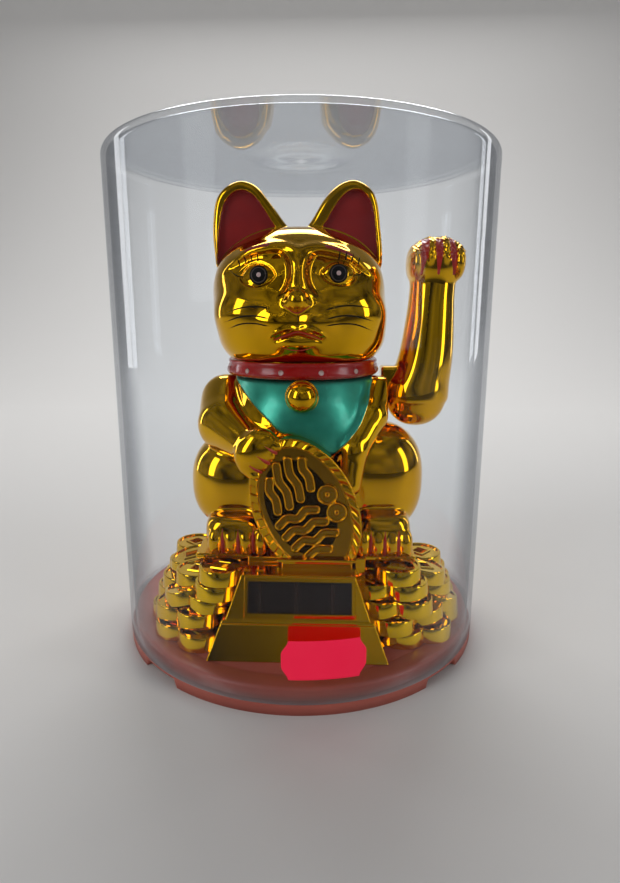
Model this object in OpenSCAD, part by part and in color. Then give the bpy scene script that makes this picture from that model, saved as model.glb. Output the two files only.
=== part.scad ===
// Solar beckoning cat on a coin pedestal, standing on a round tray under a clear cover.
// Origin: centre of the tray's underside. +Z is up and the cat faces -Y.

/* [Display case] */
// Outer radius of the clear cover
case_r = 67; // [66:0.5:70]
// Height of the cover's closed top above the surface
case_top = 171.4; // [171:0.2:176]
// Wall thickness of the clear cover
case_wall = 1.6; // [1.2:0.1:1.8]
// Height of the tray flange that the cover stands on
flange_z = 3.8; // [3.4:0.1:4.2]
// Height of the tray floor that the figurine stands on
floor_z = 8; // [7.6:0.1:8.4]
// Turn of the tray's four feet about the vertical
tray_turn = 2.2; // [-10:0.1:10]
// Angle that each notch between two feet spans
notch_angle = 14.5; // [10:0.5:20]

/* [Pedestal] */
// Height of the ledge that the cat sits on
ledge_z = 36.2; // [36:0.1:36.6]
// Wall thickness of the plated shells
shell = 1.6; // [1.2:0.1:1.8]
// Radius of one coin
coin_r = 8.3; // [7.8:0.1:8.6]
// Layers in a coin column
coin_layers = 5; // [5:1:5]

/* [Cat] */
// Height of the arm's pivot
pivot_z = 94.5; // [94:0.1:95]
// Radius of the arm's steel shaft
shaft_r = 1.25; // [1:0.05:1.4]
// Running clearance of the shaft in its bearings
shaft_gap = 0.05; // [0.03:0.01:0.08]
// Length of the pendulum lever from the pivot to the magnet
lever_l = 52; // [50:0.5:52]

/* [Hidden] */
$fn = 64;

gold = "gold";
bright = "goldenrod";
tin = 0.1;                       // thickness of the paper label
bore_r = 1.2;                    // self-tapping screw and its pilot bore
screw_head_r = 2.4;
screw_head_h = 1.5;
plate_t = 2.4;                   // bottom plate
ledge_t = 1.8;                   // ledge plate on top of the pedestal
body_x = 1;                      // the torso stands this far right of the tray's centre
neck_r = 21.6;
neck_top = 103.4;
shoulder_z = 97;
head_x = -0.6;
pend_x = 6;                      // the pendulum hangs here
coil_z = 30.4;                   // underside of the coil bobbin, on the board
board_t = 1.2;
board_z = coil_z - board_t;
bracket_y = 15;                  // front face of the bracket's back plate
bracket_x0 = -2;
bracket_x1 = 18;
stub_x0 = 29.4;                  // the arm's square stub starts here, clear of the body
stub_w = 7.8;

// Torso outline, radius against height
torso = [
    [30.5, ledge_z], [31.6, 44], [31.8, 54], [31, 64], [29.8, 74],
    [28.4, 84], [27.4, 91], [26.2, 95.4], [24.4, shoulder_z]
];
// Head outline, radius against height
skull = [
    [neck_r + 0.4, 102.6], [25.4, 103.6], [27.8, 107], [29.6, 114], [30.5, 122], [30.4, 129],
    [29, 136], [25.4, 142], [19, 146], [11, 148.2], [0, 149]
];

// Housing of the solar cell: half width and front face against height
housing = [[floor_z, 29.8, -52], [21, 24.6, -47.6], [34.4, 18.8, -43]];
housing_x = 0.6;
housing_tilt = -18.9;            // lean of the housing's front face
window_x = 0.6;                  // the cell sits this far right of the housing's middle
stand_z = 38.4;                   // top of the low stand under the koban
front_y = -30;                   // front of the ledge and of the pedestal's core
core_l = -30;                    // the core's left and right sides behind the coins
core_r = 35;
core_back = 32;
core_front = -18;

// Coin columns: lowest coin's centre, highest coin's centre, layers in use
columns_left = [
    [[-33, -39.4], [-26.2, -33.5], 5],
    [[-43, -31.5], [-37, -25.5], 4],
    [[-44.5, -14], [-39.5, -12.5], 4]
];
columns_right = [
    [[36.4, -34.8], [34.7, -30.6], 5],
    [[46.3, -30.5], [40, -27.5], 4],
    [[49, -13], [43.5, -11.5], 4]
];
layer_h = (34 - floor_z) / coin_layers;

screw_spots = [[-25, 26], [30, 26], [-24, -13.2], [30.2, -13.2]];
tray_spots = [[2, 27], [2, -35]];
board_spots = [[-12, 14], [23, 14]];
bracket_spots = [[2.8, 90.5], [13.2, 90.5]];
shell_spots = [[-24.2, 41.5], [26.2, 41.5]];

function oval(a, b, n) = [for (i = [0 : n - 1]) [a * cos(360 * i / n), b * sin(360 * i / n)]];
// An outline moved inwards by t at its side and at both its ends
function inset(outline, t) =
    let (low = outline[0][1], high = outline[len(outline) - 1][1], mid = (low + high) / 2)
        [for (p = outline) [max(p[0] - t, 0), p[1] - t * (p[1] - mid) / (high - mid)]];

// A revolved solid from an outline of [radius, height] points
module turned(outline, centre_x) {
    last = len(outline) - 1;
    translate([centre_x, 0, 0])
        rotate_extrude()
            polygon(concat([[0, outline[0][1]]], outline, [[0, outline[last][1]]]));
}

// Half space in front of (side = -1) or behind (side = 1) the parting plane
module half(side) {
    translate([-100, side < 0 ? -100 : 0, 0])
        cube([200, 100, 200]);
}

// Cylinder along Y from y0 to y1
module rod_y(x, z, y0, y1, r) {
    translate([x, y0, z])
        rotate([-90, 0, 0])
            cylinder(r = r, h = y1 - y0);
}

// Cylinder along X from x0 to x1 at the pivot's height
module rod_x(x0, x1, r) {
    translate([x0, 0, pivot_z])
        rotate([0, 90, 0])
            cylinder(r = r, h = x1 - x0);
}

// Round-headed self-tapping screw, head down, thread up
module screw(length) {
    cylinder(r = bore_r, h = length);
    translate([0, 0, -screw_head_h])
        cylinder(r1 = screw_head_r * 0.7, r2 = screw_head_r, h = screw_head_h);
}

// ---- Display case ----

module clear_cover() {
    in_r = case_r - case_wall;
    color("lightcyan", 0.3)
        rotate_extrude($fn = 128)
            difference() {
                union() {
                    translate([0, flange_z])
                        square([case_r, case_top - flange_z - 3.6]);
                    translate([0, case_top - 3.6])
                        square([case_r - 3.6, 3.6]);
                    intersection() {
                        translate([case_r - 3.6, case_top - 3.6])
                            circle(r = 3.6);
                        translate([case_r - 3.6, case_top - 3.6])
                            square(4);
                    }
                }
                translate([-1, flange_z - 1])
                    square([in_r + 1, case_top - case_wall - 2.4 - flange_z + 1]);
                translate([-1, flange_z - 1])
                    square([in_r - 2.4 + 1, case_top - case_wall - flange_z + 1]);
                translate([in_r - 2.4, case_top - case_wall - 2.4])
                    circle(r = 2.4);
            }
}

module price_label() {
    label_arc = 22.1;
    label_turn = -81.9;
    color("red")
        rotate([0, 0, label_turn - label_arc / 2])
            translate([0, 0, 12.3])
                rotate_extrude(angle = label_arc)
                    translate([case_r, 0])
                        square([tin, 12.8]);
}

module base_tray() {
    rim_r = case_r - case_wall - 0.4;
    wall = 1.8;
    foot_in = case_r - 4;
    color("indianred")
        difference() {
            union() {
                cylinder(r = case_r - 0.2, h = flange_z);
                cylinder(r = rim_r, h = floor_z - 1.2);
                translate([0, 0, floor_z - 1.2])
                    cylinder(r1 = rim_r, r2 = rim_r - 1.2, h = 1.2);
            }
            translate([0, 0, -1])
                cylinder(r = foot_in, h = floor_z - wall + 1);
            for (k = [0 : 3])
                rotate([0, 0, tray_turn + 45 + 90 * k - notch_angle / 2])
                    rotate_extrude(angle = notch_angle)
                        translate([foot_in - 2, -1])
                            square([8, flange_z]);
            for (p = tray_spots)
                translate([p[0], p[1], 0])
                    cylinder(r = bore_r + 0.3, h = 20);
        }
}

module tray_screws() {
    color("silver")
        for (p = tray_spots)
            translate([p[0], p[1], floor_z - 1.8])
                screw(9);
}

// ---- Pedestal ----

// Outer form of the housing around the solar cell; grow < 0 gives its cavity, open at the back
module housing_block(grow) {
    top = housing[2][0] + min(grow, 0);
    back = front_y - 2 - 3 * min(grow, 0);
    wide = [for (h = housing) [h[1] + grow, min(h[0], top)]];
    deep = [for (h = housing) [h[2] - grow, min(h[0], top)]];
    translate([housing_x, 0, 0])
        intersection() {
            rotate([90, 0, 0])
                linear_extrude(height = 80)
                    polygon(concat(wide, [for (k = [2 : -1 : 0]) [-wide[k][0], wide[k][1]]]));
            rotate([90, 0, 90])
                translate([0, 0, -40])
                    linear_extrude(height = 80)
                        polygon(concat(deep, [[back, top], [back, floor_z]]));
        }
}

// The block behind the housing that carries the ledge; thin > 0 gives its cavity
module core_block(thin) {
    top = ledge_z - (thin > 0 ? ledge_t : 0);
    side_r = core_r - thin;
    side_l = core_l + thin;
    neck_l = housing_x - 18 + thin;
    neck_r = housing_x + 23 - thin;
    translate([side_l, core_front + thin, floor_z])
        cube([side_r - side_l, core_back - core_front - 2 * thin, top - floor_z]);
    translate([neck_l, front_y - 2 + thin, floor_z])
        cube([neck_r - neck_l, 16, top - floor_z]);
}

// Low stand on the housing that carries the koban: two plates with a waist between them
module koban_stand() {
    x0 = -6.6;
    x1 = 20;
    y0 = -39.4;
    depth = front_y - 1.4 - y0;
    foot_z = ledge_z - ledge_t;
    translate([x0 + 1.4, y0 + 1.4, foot_z - 1])
        cube([x1 - x0 - 2.8, depth - 1.4, stand_z - foot_z + 1]);
    for (z = [foot_z - 0.1, stand_z - 0.9])
        translate([x0, y0, z])
            cube([x1 - x0, depth, 0.9]);
}

module pedestal() {
    color(gold)
        difference() {
            union() {
                core_block(0);
                housing_block(0);
                translate([-36, front_y, ledge_z - ledge_t])
                    cube([77, 16, ledge_t]);
                koban_stand();
            }
            difference() {
                union() {
                    core_block(shell);
                    housing_block(-shell);
                }
                for (p = screw_spots)
                    translate([p[0], p[1], floor_z + plate_t])
                        cylinder(r = 3.2, h = 40);
            }
            translate([body_x, 0, ledge_z - 8])
                cylinder(r = 27, h = 12);
            for (p = screw_spots)
                translate([p[0], p[1], floor_z - 2])
                    cylinder(r = bore_r, h = 14);
            on_slope()
                translate([window_x - 18.1, -6, -6.5])
                    cube([36.2, 16, 13]);
        }
}

// One coin of a column; the top one shows its sunk face and square hole
module coin(r, is_top) {
    difference() {
        cylinder(r = r, h = layer_h);
        if (is_top)
            translate([0, 0, layer_h - 0.6])
                difference() {
                    cylinder(r = r - 1.2, h = 1);
                    translate([-3.2, -3.2, -1])
                        cube([6.4, 6.4, 3]);
                }
        if (is_top)
            translate([-2.2, -2.2, layer_h - 1])
                cube([4.4, 4.4, 2]);
    }
}

module coin_columns(columns) {
    color(bright)
        difference() {
            union()
                for (c = columns)
                    for (k = [0 : c[2] - 1]) {
                        t = k / (coin_layers - 1);
                        low = c[0] * (1 - t);
                        high = c[1] * t;
                        translate([low[0] + high[0], low[1] + high[1], floor_z + layer_h * k])
                            coin(coin_r, k == c[2] - 1);
                    }
            core_block(0);
            for (c = columns) {
                mid = c[0] * 0.6 + c[1] * 0.4;
                translate([mid[0], mid[1], floor_z - 1])
                    cylinder(r = coin_r - 3.4, h = layer_h * 3);
            }
        }
}

module coin_pile_left() {
    difference() {
        coin_columns(columns_left);
        housing_block(0.3);
    }
}

module coin_pile_right() {
    difference() {
        coin_columns(columns_right);
        housing_block(0.3);
    }
}

module bottom_plate() {
    gap = shell + 0.3;
    color("dimgray")
        difference() {
            union() {
                translate([core_l + gap, core_front + gap, floor_z])
                    cube([core_r - core_l - 2 * gap, core_back - core_front - 2 * gap, plate_t]);
                translate([housing_x - 16, -44, floor_z])
                    cube([32, 30, plate_t]);
                for (p = board_spots)
                    translate([p[0], p[1], floor_z])
                        cylinder(r = 3, h = board_z - floor_z);
                for (p = tray_spots)
                    translate([p[0], p[1], floor_z])
                        cylinder(r = 3, h = 9);
            }
            for (p = screw_spots)
                translate([p[0], p[1], floor_z - 1]) {
                    cylinder(r = screw_head_r + 0.2, h = 1 + screw_head_h);
                    cylinder(r = bore_r + 0.2, h = 2 + plate_t);
                }
            for (p = board_spots)
                translate([p[0], p[1], board_z - 8])
                    cylinder(r = bore_r, h = 10);
            for (p = tray_spots)
                translate([p[0], p[1], floor_z - 1])
                    cylinder(r = bore_r, h = 9);
        }
}

module base_screws() {
    color("silver")
        for (p = screw_spots)
            translate([p[0], p[1], floor_z + screw_head_h])
                screw(8);
}

// ---- Solar drive ----

// Puts a child on the housing's sloping front
module on_slope() {
    translate([housing_x, -45.4, 27.6])
        rotate([housing_tilt, 0, 0])
            children();
}

module solar_cell() {
    color("black")
        on_slope()
            translate([window_x - 17.7, 2.4, -5.9])
                cube([35.4, 1.4, 11.8]);
}

module solar_bezel() {
    color(gold)
        on_slope()
            difference() {
                translate([window_x - 18.1, 0.6, -6.5])
                    cube([36.2, 3.2, 13]);
                translate([window_x - 17.7, 2.4, -5.9])
                    cube([35.4, 4, 11.8]);
                translate([window_x - 17.2, -1, -5.2])
                    cube([34.4, 8, 10.4]);
            }
}

// Point of a cubic curve through a route of four control points
function along(q, t) =
    q[0] * pow(1 - t, 3) + q[1] * 3 * t * pow(1 - t, 2) + q[2] * 3 * t * t * (1 - t) + q[3] * t * t * t;
function unit(v) = v / norm(v);
// Corners of one ring of a wire, square to its run
function ring(c, d, r, sides) =
    let (side = unit(cross(d, [1, 0, 0])), up = unit(cross(side, d)))
        [for (k = [0 : sides - 1]) c + side * r * cos(360 * k / sides) + up * r * sin(360 * k / sides)];

// A round wire swept along a cubic route
module wire(q, r) {
    rings = 16;
    sides = 8;
    last = rings * sides;
    points = [
        for (j = [0 : rings])
            let (t = j / rings, d = unit(along(q, t + 0.01) - along(q, t - 0.01)))
                each ring(along(q, t), d, r, sides)
    ];
    walls = [
        for (j = [0 : rings - 1], k = [0 : sides - 1])
            let (a = j * sides, n = (k + 1) % sides)
                [a + k, a + sides + k, a + sides + n, a + n]
    ];
    triangles = [for (w = walls) each [[w[0], w[1], w[2]], [w[0], w[2], w[3]]]];
    ends = [[for (k = [0 : sides - 1]) k], [for (k = [sides - 1 : -1 : 0]) last + k]];
    polyhedron(points = points, faces = concat(triangles, ends));
}

module solar_leads() {
    color("crimson")
        for (s = [-1, 1])
            wire(
                [
                    [housing_x + s * 3, -40.7, 28.4], [housing_x + s * 3, -34, 22],
                    [4 + s * 6, -14, 18], [4 + s * 7, -11, board_z]
                ],
                0.5
            );
}

module circuit_board() {
    color("darkgreen")
        difference() {
            translate([-17, -13, board_z])
                cube([43.5, 31, board_t]);
            for (p = board_spots)
                translate([p[0], p[1], board_z - 1])
                    cylinder(r = bore_r + 0.2, h = 4);
        }
}

module board_screws() {
    color("silver")
        for (p = board_spots)
            translate([p[0], p[1], coil_z])
                mirror([0, 0, 1])
                    screw(6);
}

module coil_bobbin() {
    color("ivory")
        translate([pend_x, 0, coil_z])
            rotate_extrude()
                polygon([
                    [1.5, 0], [8.5, 0], [8.5, 1], [3.5, 1],
                    [3.5, 8], [8.5, 8], [8.5, 9], [1.5, 9]
                ]);
}

module drive_coil() {
    color("peru")
        translate([pend_x, 0, coil_z + 1])
            difference() {
                cylinder(r = 7.6, h = 7);
                translate([0, 0, -1])
                    cylinder(r = 3.5, h = 9);
            }
}

module storage_capacitor() {
    color("navy")
        translate([-9, -5, coil_z]) {
            cylinder(r = 3.1, h = 0.8);
            translate([0, 0, 0.8])
                cylinder(r = 2.9, h = 0.6);
            translate([0, 0, 1.4])
                cylinder(r = 3.1, h = 5);
        }
}

module driver_transistor() {
    color("black")
        translate([22, -5, coil_z]) {
            intersection() {
                cylinder(r = 2.4, h = 7);
                translate([-3, -1.6, 2.4])
                    cube([6, 6, 4.6]);
            }
            for (x = [-1.2, 0, 1.2])
                translate([x - 0.25, -0.25, 0])
                    cube([0.5, 0.5, 2.4]);
        }
}

// ---- Cat ----

elbow = [-28.4, -9.2, 82.4];
elbow_r = 8.8;
paw = [-12.8, -34, 77];
paw_r = 6.4;

// Outer form of the seated body; t > 0 gives the cavity at that wall thickness, open below
module body_form(t) {
    below = t > 0 ? [[torso[0][0] - t, ledge_z - 2]] : [];
    turned(concat(below, inset(torso, t)), body_x);
    for (thigh = [[28.4, -6, 60.5], [-24, -6, 59.5]])
        translate(thigh)
            rotate([90, 0, 0])
                sphere(r = 17 - t);
}

module neck(t) {
    translate([body_x, 0, shoulder_z - 3])
        cylinder(r = neck_r - t, h = neck_top - shoulder_z + 3);
}

module foot(x0, x1, top) {
    hull()
        for (x = [x0 + 5, x1 - 5])
            for (y = [-25.5, -14]) {
                translate([x, y, top - 5])
                    sphere(r = 5, $fn = 20);
                translate([x, y, ledge_z - 1])
                    cylinder(r = 5, h = 4, $fn = 20);
            }
}

// The arm that holds the koban: shoulder, elbow and paw
module holding_arm() {
    hull() {
        translate([-22.6, -5, 89])
            sphere(r = 7, $fn = 24);
        translate(elbow)
            sphere(r = elbow_r, $fn = 24);
    }
    hull() {
        translate(elbow)
            sphere(r = elbow_r, $fn = 24);
        translate(paw)
            sphere(r = paw_r, $fn = 24);
    }
}

module body_half(side) {
    difference() {
        intersection() {
            union() {
                body_form(0);
                neck(0);
                if (side < 0) {
                    foot(-35, -13.6, 49);
                    foot(22, 40.4, 51);
                    holding_arm();
                }
            }
            half(side);
            translate([-100, -100, ledge_z])
                cube([200, 200, 100]);
        }
        difference() {
            union() {
                body_form(shell);
                neck(shell);
            }
            if (side > 0)
                for (p = bracket_spots)
                    rod_y(p[0], p[1], bracket_y + 2, 40, 2.4);
            for (p = shell_spots)
                rod_y(p[0], p[1], side < 0 ? -20 : 4, side < 0 ? 0 : 20, 3.6);
        }
        rod_x(20, 40, 3);
        if (side > 0)
            for (p = bracket_spots)
                rod_y(p[0], p[1], bracket_y, 24.5, bore_r);
        for (p = shell_spots)
            if (side > 0) {
                rod_y(p[0], p[1], -1, 60, bore_r + 0.2);
                rod_y(p[0], p[1], 8, 60, screw_head_r + 0.3);
            } else
                rod_y(p[0], p[1], -8, 1, bore_r);
    }
}

module body_front() {
    color(gold)
        body_half(-1);
}

module body_rear() {
    color(gold)
        body_half(1);
}

module shell_screws() {
    color("silver")
        for (p = shell_spots)
            translate([p[0], 8, p[1]])
                rotate([90, 0, 0])
                    screw(14);
}

// One ear, as a flattened rounded triangle that stands on the skull
module ear(tip, outer, inner) {
    scale([1, 0.6, 1])
        hull()
            for (p = [tip, outer, inner])
                translate([p[0], 0, p[1]])
                    sphere(r = p[2], $fn = 28);
}

module ears() {
    ear([-22.4, 157.9, 6.6], [-27.2, 140, 4], [-9.6, 145, 3.6]);
    ear([19.4, 157.7, 6.6], [25.8, 140, 4], [7.4, 145, 3.6]);
}

module head_half(side) {
    difference() {
        intersection() {
            union() {
                turned(skull, head_x);
                ears();
                if (side < 0) {
                    translate([-0.6, -28.4, 121.4])
                        sphere(r = 5.6);
                    translate([-0.6, -24.6, 109.5])
                        sphere(r = 8);
                }
            }
            half(side);
            translate([-100, -100, skull[0][1]])
                cube([200, 200, 100]);
        }
        turned(inset(skull, shell), head_x);
        translate([body_x, 0, 90])
            cylinder(r = neck_r + 0.2, h = neck_top - 90);
    }
}

module head_front() {
    color(gold)
        head_half(-1);
}

module head_rear() {
    color(gold)
        head_half(1);
}

module collar() {
    ring_r = 28.2;
    edge = 1.6;
    color("firebrick")
        translate([body_x - 0.4, 0, 0])
            rotate_extrude()
                translate([neck_r + 0.6, shoulder_z])
                    union() {
                        square([ring_r - neck_r - 0.6 - edge, 5.6]);
                        translate([0, edge])
                            square([ring_r - neck_r - 0.6, 5.6 - 2 * edge]);
                        for (h = [edge, 5.6 - edge])
                            translate([ring_r - neck_r - 0.6 - edge, h])
                                circle(r = edge);
                    }
}

module bell() {
    color(bright)
        difference() {
            translate([1.4, -30.8, 92.4])
                sphere(r = 5.6);
            turned(torso, body_x);
            translate([body_x - 0.4, 0, shoulder_z])
                cylinder(r = 28.2, h = 6);
            translate([-20, -40, shoulder_z])
                cube([40, 20, 10]);
        }
}

// Oval coin that leans on the belly, stands on its low stand and is seated in the paw
module koban() {
    lean = -23.3;
    half_w = 17.1;
    half_h = 25.4;
    thick = 6.4;
    rim = 3.4;
    color(gold)
        difference() {
            translate([2.9, -32, 55.3])
                rotate([90, lean, 0])
                    difference() {
                        linear_extrude(height = thick)
                            polygon(oval(half_w, half_h, 64));
                        translate([0, 0, thick - 1])
                            linear_extrude(height = 2)
                                polygon(oval(half_w - rim, half_h - rim, 64));
                    }
            translate([-40, -60, stand_z - 20])
                cube([80, 60, 20]);
            holding_arm();
        }
}

// ---- Swinging arm and its pendulum ----

module bearing_bracket() {
    color("dimgray")
        difference() {
            union() {
                translate([bracket_x0, bracket_y, 87])
                    cube([bracket_x1 - bracket_x0, 2, 7.2]);
                for (x = [bracket_x0, bracket_x1 - 2]) {
                    translate([x, 0, 87])
                        cube([2, bracket_y + 1, 7.2]);
                    rod_x(x, x + 2, 3.6);
                }
            }
            rod_x(bracket_x0 - 1, bracket_x1 + 1, shaft_r + shaft_gap);
            for (p = bracket_spots)
                rod_y(p[0], p[1], bracket_y - 1, bracket_y + 3, bore_r + 0.2);
        }
}

module bracket_screws() {
    color("silver")
        for (p = bracket_spots)
            translate([p[0], bracket_y, p[1]])
                rotate([-90, 0, 0])
                    screw(7);
}

// Outer form of the raised arm; t > 0 gives its cavity
module arm_form(t) {
    hull() {
        translate([44.8, 0, 87.4])
            sphere(r = 9.7 - t, $fn = 24);
        translate([46.6, 0, 104])
            sphere(r = 9.2 - t, $fn = 24);
    }
    hull() {
        translate([46.6, 0, 104])
            sphere(r = 9.2 - t, $fn = 24);
        translate([47.6, 0, 129])
            sphere(r = 8.5 - t, $fn = 24);
    }
    translate([48, 0, 135.4])
        sphere(r = 9.9 - t);
}

module arm_half(side) {
    color(gold)
        difference() {
            intersection() {
                union() {
                    difference() {
                        arm_form(0);
                        arm_form(1.5);
                    }
                    translate([stub_x0, -stub_w / 2, pivot_z - stub_w / 2])
                        cube([10.4, stub_w, stub_w]);
                }
                half(side);
            }
            rod_x(stub_x0 - 1, stub_x0 + 9, shaft_r);
        }
}

module arm_front() {
    arm_half(-1);
}

module arm_rear() {
    arm_half(1);
}

module arm_shaft() {
    color("lightgray")
        rod_x(bracket_x0 - 2, stub_x0 + 9, shaft_r);
}

module shaft_retainer() {
    color("black")
        difference() {
            rod_x(bracket_x0 - 1.4, bracket_x0 - 0.4, 2.6);
            rod_x(bracket_x0 - 3, bracket_x0 + 1, shaft_r);
        }
}

weight_r = 7;
weight_z = pivot_z - 40;

module pendulum_lever() {
    color("white")
        difference() {
            union() {
                rod_x(pend_x - 4, pend_x + 4, 4);
                translate([pend_x - 1.2, -3, pivot_z - lever_l + 3])
                    cube([2.4, 6, lever_l - 4]);
                translate([pend_x - 2.6, 0, weight_z])
                    rotate([0, 90, 0])
                        cylinder(r = weight_r + 1.6, h = 5.2);
                translate([pend_x, 0, pivot_z - lever_l + 3])
                    cylinder(r = 5.4, h = 1.6);
            }
            rod_x(pend_x - 6, pend_x + 6, shaft_r);
            translate([pend_x - 5, 0, weight_z])
                rotate([0, 90, 0])
                    cylinder(r = weight_r, h = 10);
        }
}

module counterweight() {
    color("slategray")
        translate([pend_x - 4, 0, weight_z])
            rotate([0, 90, 0])
                cylinder(r = weight_r, h = 8);
}

module drive_magnet() {
    color("gainsboro")
        translate([pend_x, 0, pivot_z - lever_l])
            cylinder(r = 5, h = 3);
}

clear_cover();
price_label();
base_tray();
tray_screws();
pedestal();
coin_pile_left();
coin_pile_right();
bottom_plate();
base_screws();
solar_cell();
solar_bezel();
solar_leads();
circuit_board();
board_screws();
coil_bobbin();
drive_coil();
storage_capacitor();
driver_transistor();
body_front();
body_rear();
shell_screws();
head_front();
head_rear();
collar();
bell();
koban();
bearing_bracket();
bracket_screws();
arm_front();
arm_rear();
arm_shaft();
shaft_retainer();
pendulum_lever();
counterweight();
drive_magnet();
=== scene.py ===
"""A solar beckoning cat on a coin pedestal, under a clear cover, built round its CAD frame.

Shapes are worked out in millimetres on the frame's own axes, where +Z is up and the cat faces -Y,
and turn into metres when a mesh is made. The plated shells are distance fields: a field gives each
point's distance to the surface, negative inside, and Skin turns it into a mesh. Paint follows
an outline that cuts the mesh, and fine painted lines are thin ribbons laid on the surface.
"""

import math

import bpy
import numpy as np
import openvdb
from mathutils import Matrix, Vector


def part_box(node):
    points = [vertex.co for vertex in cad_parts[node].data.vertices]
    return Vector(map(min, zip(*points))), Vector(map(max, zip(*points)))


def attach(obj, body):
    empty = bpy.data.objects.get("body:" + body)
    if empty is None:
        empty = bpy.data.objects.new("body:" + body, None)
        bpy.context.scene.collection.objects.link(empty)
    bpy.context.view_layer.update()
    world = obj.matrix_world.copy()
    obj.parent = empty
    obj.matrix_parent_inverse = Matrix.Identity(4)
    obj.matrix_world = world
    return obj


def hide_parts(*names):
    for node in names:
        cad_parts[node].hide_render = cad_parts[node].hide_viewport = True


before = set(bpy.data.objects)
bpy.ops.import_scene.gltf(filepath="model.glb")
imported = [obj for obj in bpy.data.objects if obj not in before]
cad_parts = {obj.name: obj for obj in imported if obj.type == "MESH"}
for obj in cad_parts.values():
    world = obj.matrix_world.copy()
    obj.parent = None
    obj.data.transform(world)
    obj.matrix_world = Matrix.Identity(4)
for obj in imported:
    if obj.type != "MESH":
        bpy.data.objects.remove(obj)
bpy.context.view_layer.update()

MM = 0.001
RAY_START = -46.0  # rays that lay paint on a surface start here, in front of everything they meet


def cad(node):
    """Lowest and highest corner of a CAD node, in millimetres."""
    low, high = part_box(node)
    return np.array(low) / MM, np.array(high) / MM


# ---- Distance fields ----


def ball(p, centre, radius):
    return np.sqrt(sum((p[i] - centre[i]) ** 2 for i in range(3))) - radius


def superoid(p, centre, radii, power=2.0, axes=None):
    """An ellipsoid, or a boxier one where power is over 2. axes are its own three directions."""
    q = [p[i] - centre[i] for i in range(3)]
    if axes is not None:
        q = [sum(axis[i] * q[i] for i in range(3)) for axis in axes]
    k = [np.abs(q[i]) / radii[i] + 1e-6 for i in range(3)]
    total = k[0] ** power + k[1] ** power + k[2] ** power
    reach = total ** (1 / power)
    slope = sum((k[i] ** (power - 1) / radii[i]) ** 2 for i in range(3))
    return (reach - 1) * reach ** (power - 1) / np.sqrt(slope)


def limb(p, a, b, radius_a, radius_b):
    """A round limb from a to b that tapers smoothly between its two radii."""
    run = np.subtract(b, a)
    t = sum((p[i] - a[i]) * run[i] for i in range(3)) / (run @ run)
    t = np.clip(t, 0, 1)
    radius = radius_a + (radius_b - radius_a) * t * t * (3 - 2 * t)
    return np.sqrt(sum((p[i] - a[i] - t * run[i]) ** 2 for i in range(3))) - radius


def rounded(sides, edge):
    """A form with rounded edges, from the distances to its sides, each moved in by edge."""
    outside = np.sqrt(sum(np.maximum(side, 0) ** 2 for side in sides))
    return outside + np.minimum(np.maximum.reduce(sides), 0) - edge


def box(p, centre, half, edge):
    """A block with rounded edges."""
    return rounded([np.abs(p[i] - centre[i]) - half[i] + edge for i in range(3)], edge)


def join(a, b, blend):
    """Union of two fields, with a soft fillet of about a third of blend."""
    h = np.maximum(blend - np.abs(a - b), 0) / blend
    return np.minimum(a, b) - h ** 3 * blend / 6


def keep(a, b, blend):
    """Intersection of two fields, with a softened edge."""
    return -join(-a, -b, blend)


def step(value, low, high):
    t = np.clip((value - low) / (high - low), 0, 1)
    return t * t * (3 - 2 * t)


def bell_curve(value, width):
    return np.exp(-((value / width) ** 2))


def smooth_path(points, spacing=0.3):
    """A Catmull-Rom curve through given points, sampled at about the spacing."""
    pts = np.array(points, float)
    pts = np.vstack([2 * pts[0] - pts[1], pts, 2 * pts[-1] - pts[-2]])
    out = []
    for a, b, c, d in zip(pts, pts[1:], pts[2:], pts[3:]):
        for t in np.linspace(0, 1, max(2, int(np.linalg.norm(c - b) / spacing)), endpoint=False):
            out.append(0.5 * (2 * b + (c - a) * t + (2 * a - 5 * b + 4 * c - d) * t * t
                              + (3 * b - a - 3 * c + d) * t ** 3))
    return np.array(out + [pts[-2]])


def closed_path(points, spacing=0.8):
    """A smooth closed outline through given points."""
    ring = list(points[-2:]) + list(points) + list(points[:2])
    path = smooth_path(ring, spacing)
    first = np.argmin(np.linalg.norm(path - np.array(points[0]), axis=1))
    last = len(path) - 1 - np.argmin(np.linalg.norm(path[::-1] - np.array(points[0]), axis=1))
    return path[first:last]


def path_distance(u, v, path):
    """Distance in a plane to an open path."""
    nearest = np.full(u.shape, 1e9, u.dtype)
    for (u0, v0), (u1, v1) in zip(path, path[1:]):
        du, dv = u1 - u0, v1 - v0
        t = np.clip(((u - u0) * du + (v - v0) * dv) / (du * du + dv * dv), 0, 1)
        nearest = np.minimum(nearest, (u - u0 - t * du) ** 2 + (v - v0 - t * dv) ** 2)
    return np.sqrt(nearest)


def outline_distance(u, v, outline):
    """Signed distance in a plane to a closed outline, negative inside."""
    closed = np.vstack([outline, outline[:1]])
    inside = np.zeros(u.shape, bool)
    for (u0, v0), (u1, v1) in zip(closed, closed[1:]):
        if v0 != v1:
            crosses = (v0 > v) != (v1 > v)
            inside ^= crosses & (u < (u1 - u0) * (v - v0) / (v1 - v0) + u0)
    return np.where(inside, -1, 1) * path_distance(u, v, closed)


# ---- Meshes from fields ----


def slope_of(field, p):
    """A field's slope at points (3, N), by central differences."""
    reach = 0.05
    slopes = np.empty_like(p)
    for axis in range(3):
        shift = np.zeros((3, 1))
        shift[axis] = reach
        slopes[axis] = (field(p + shift) - field(p - shift)) / (2 * reach)
    return slopes


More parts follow.
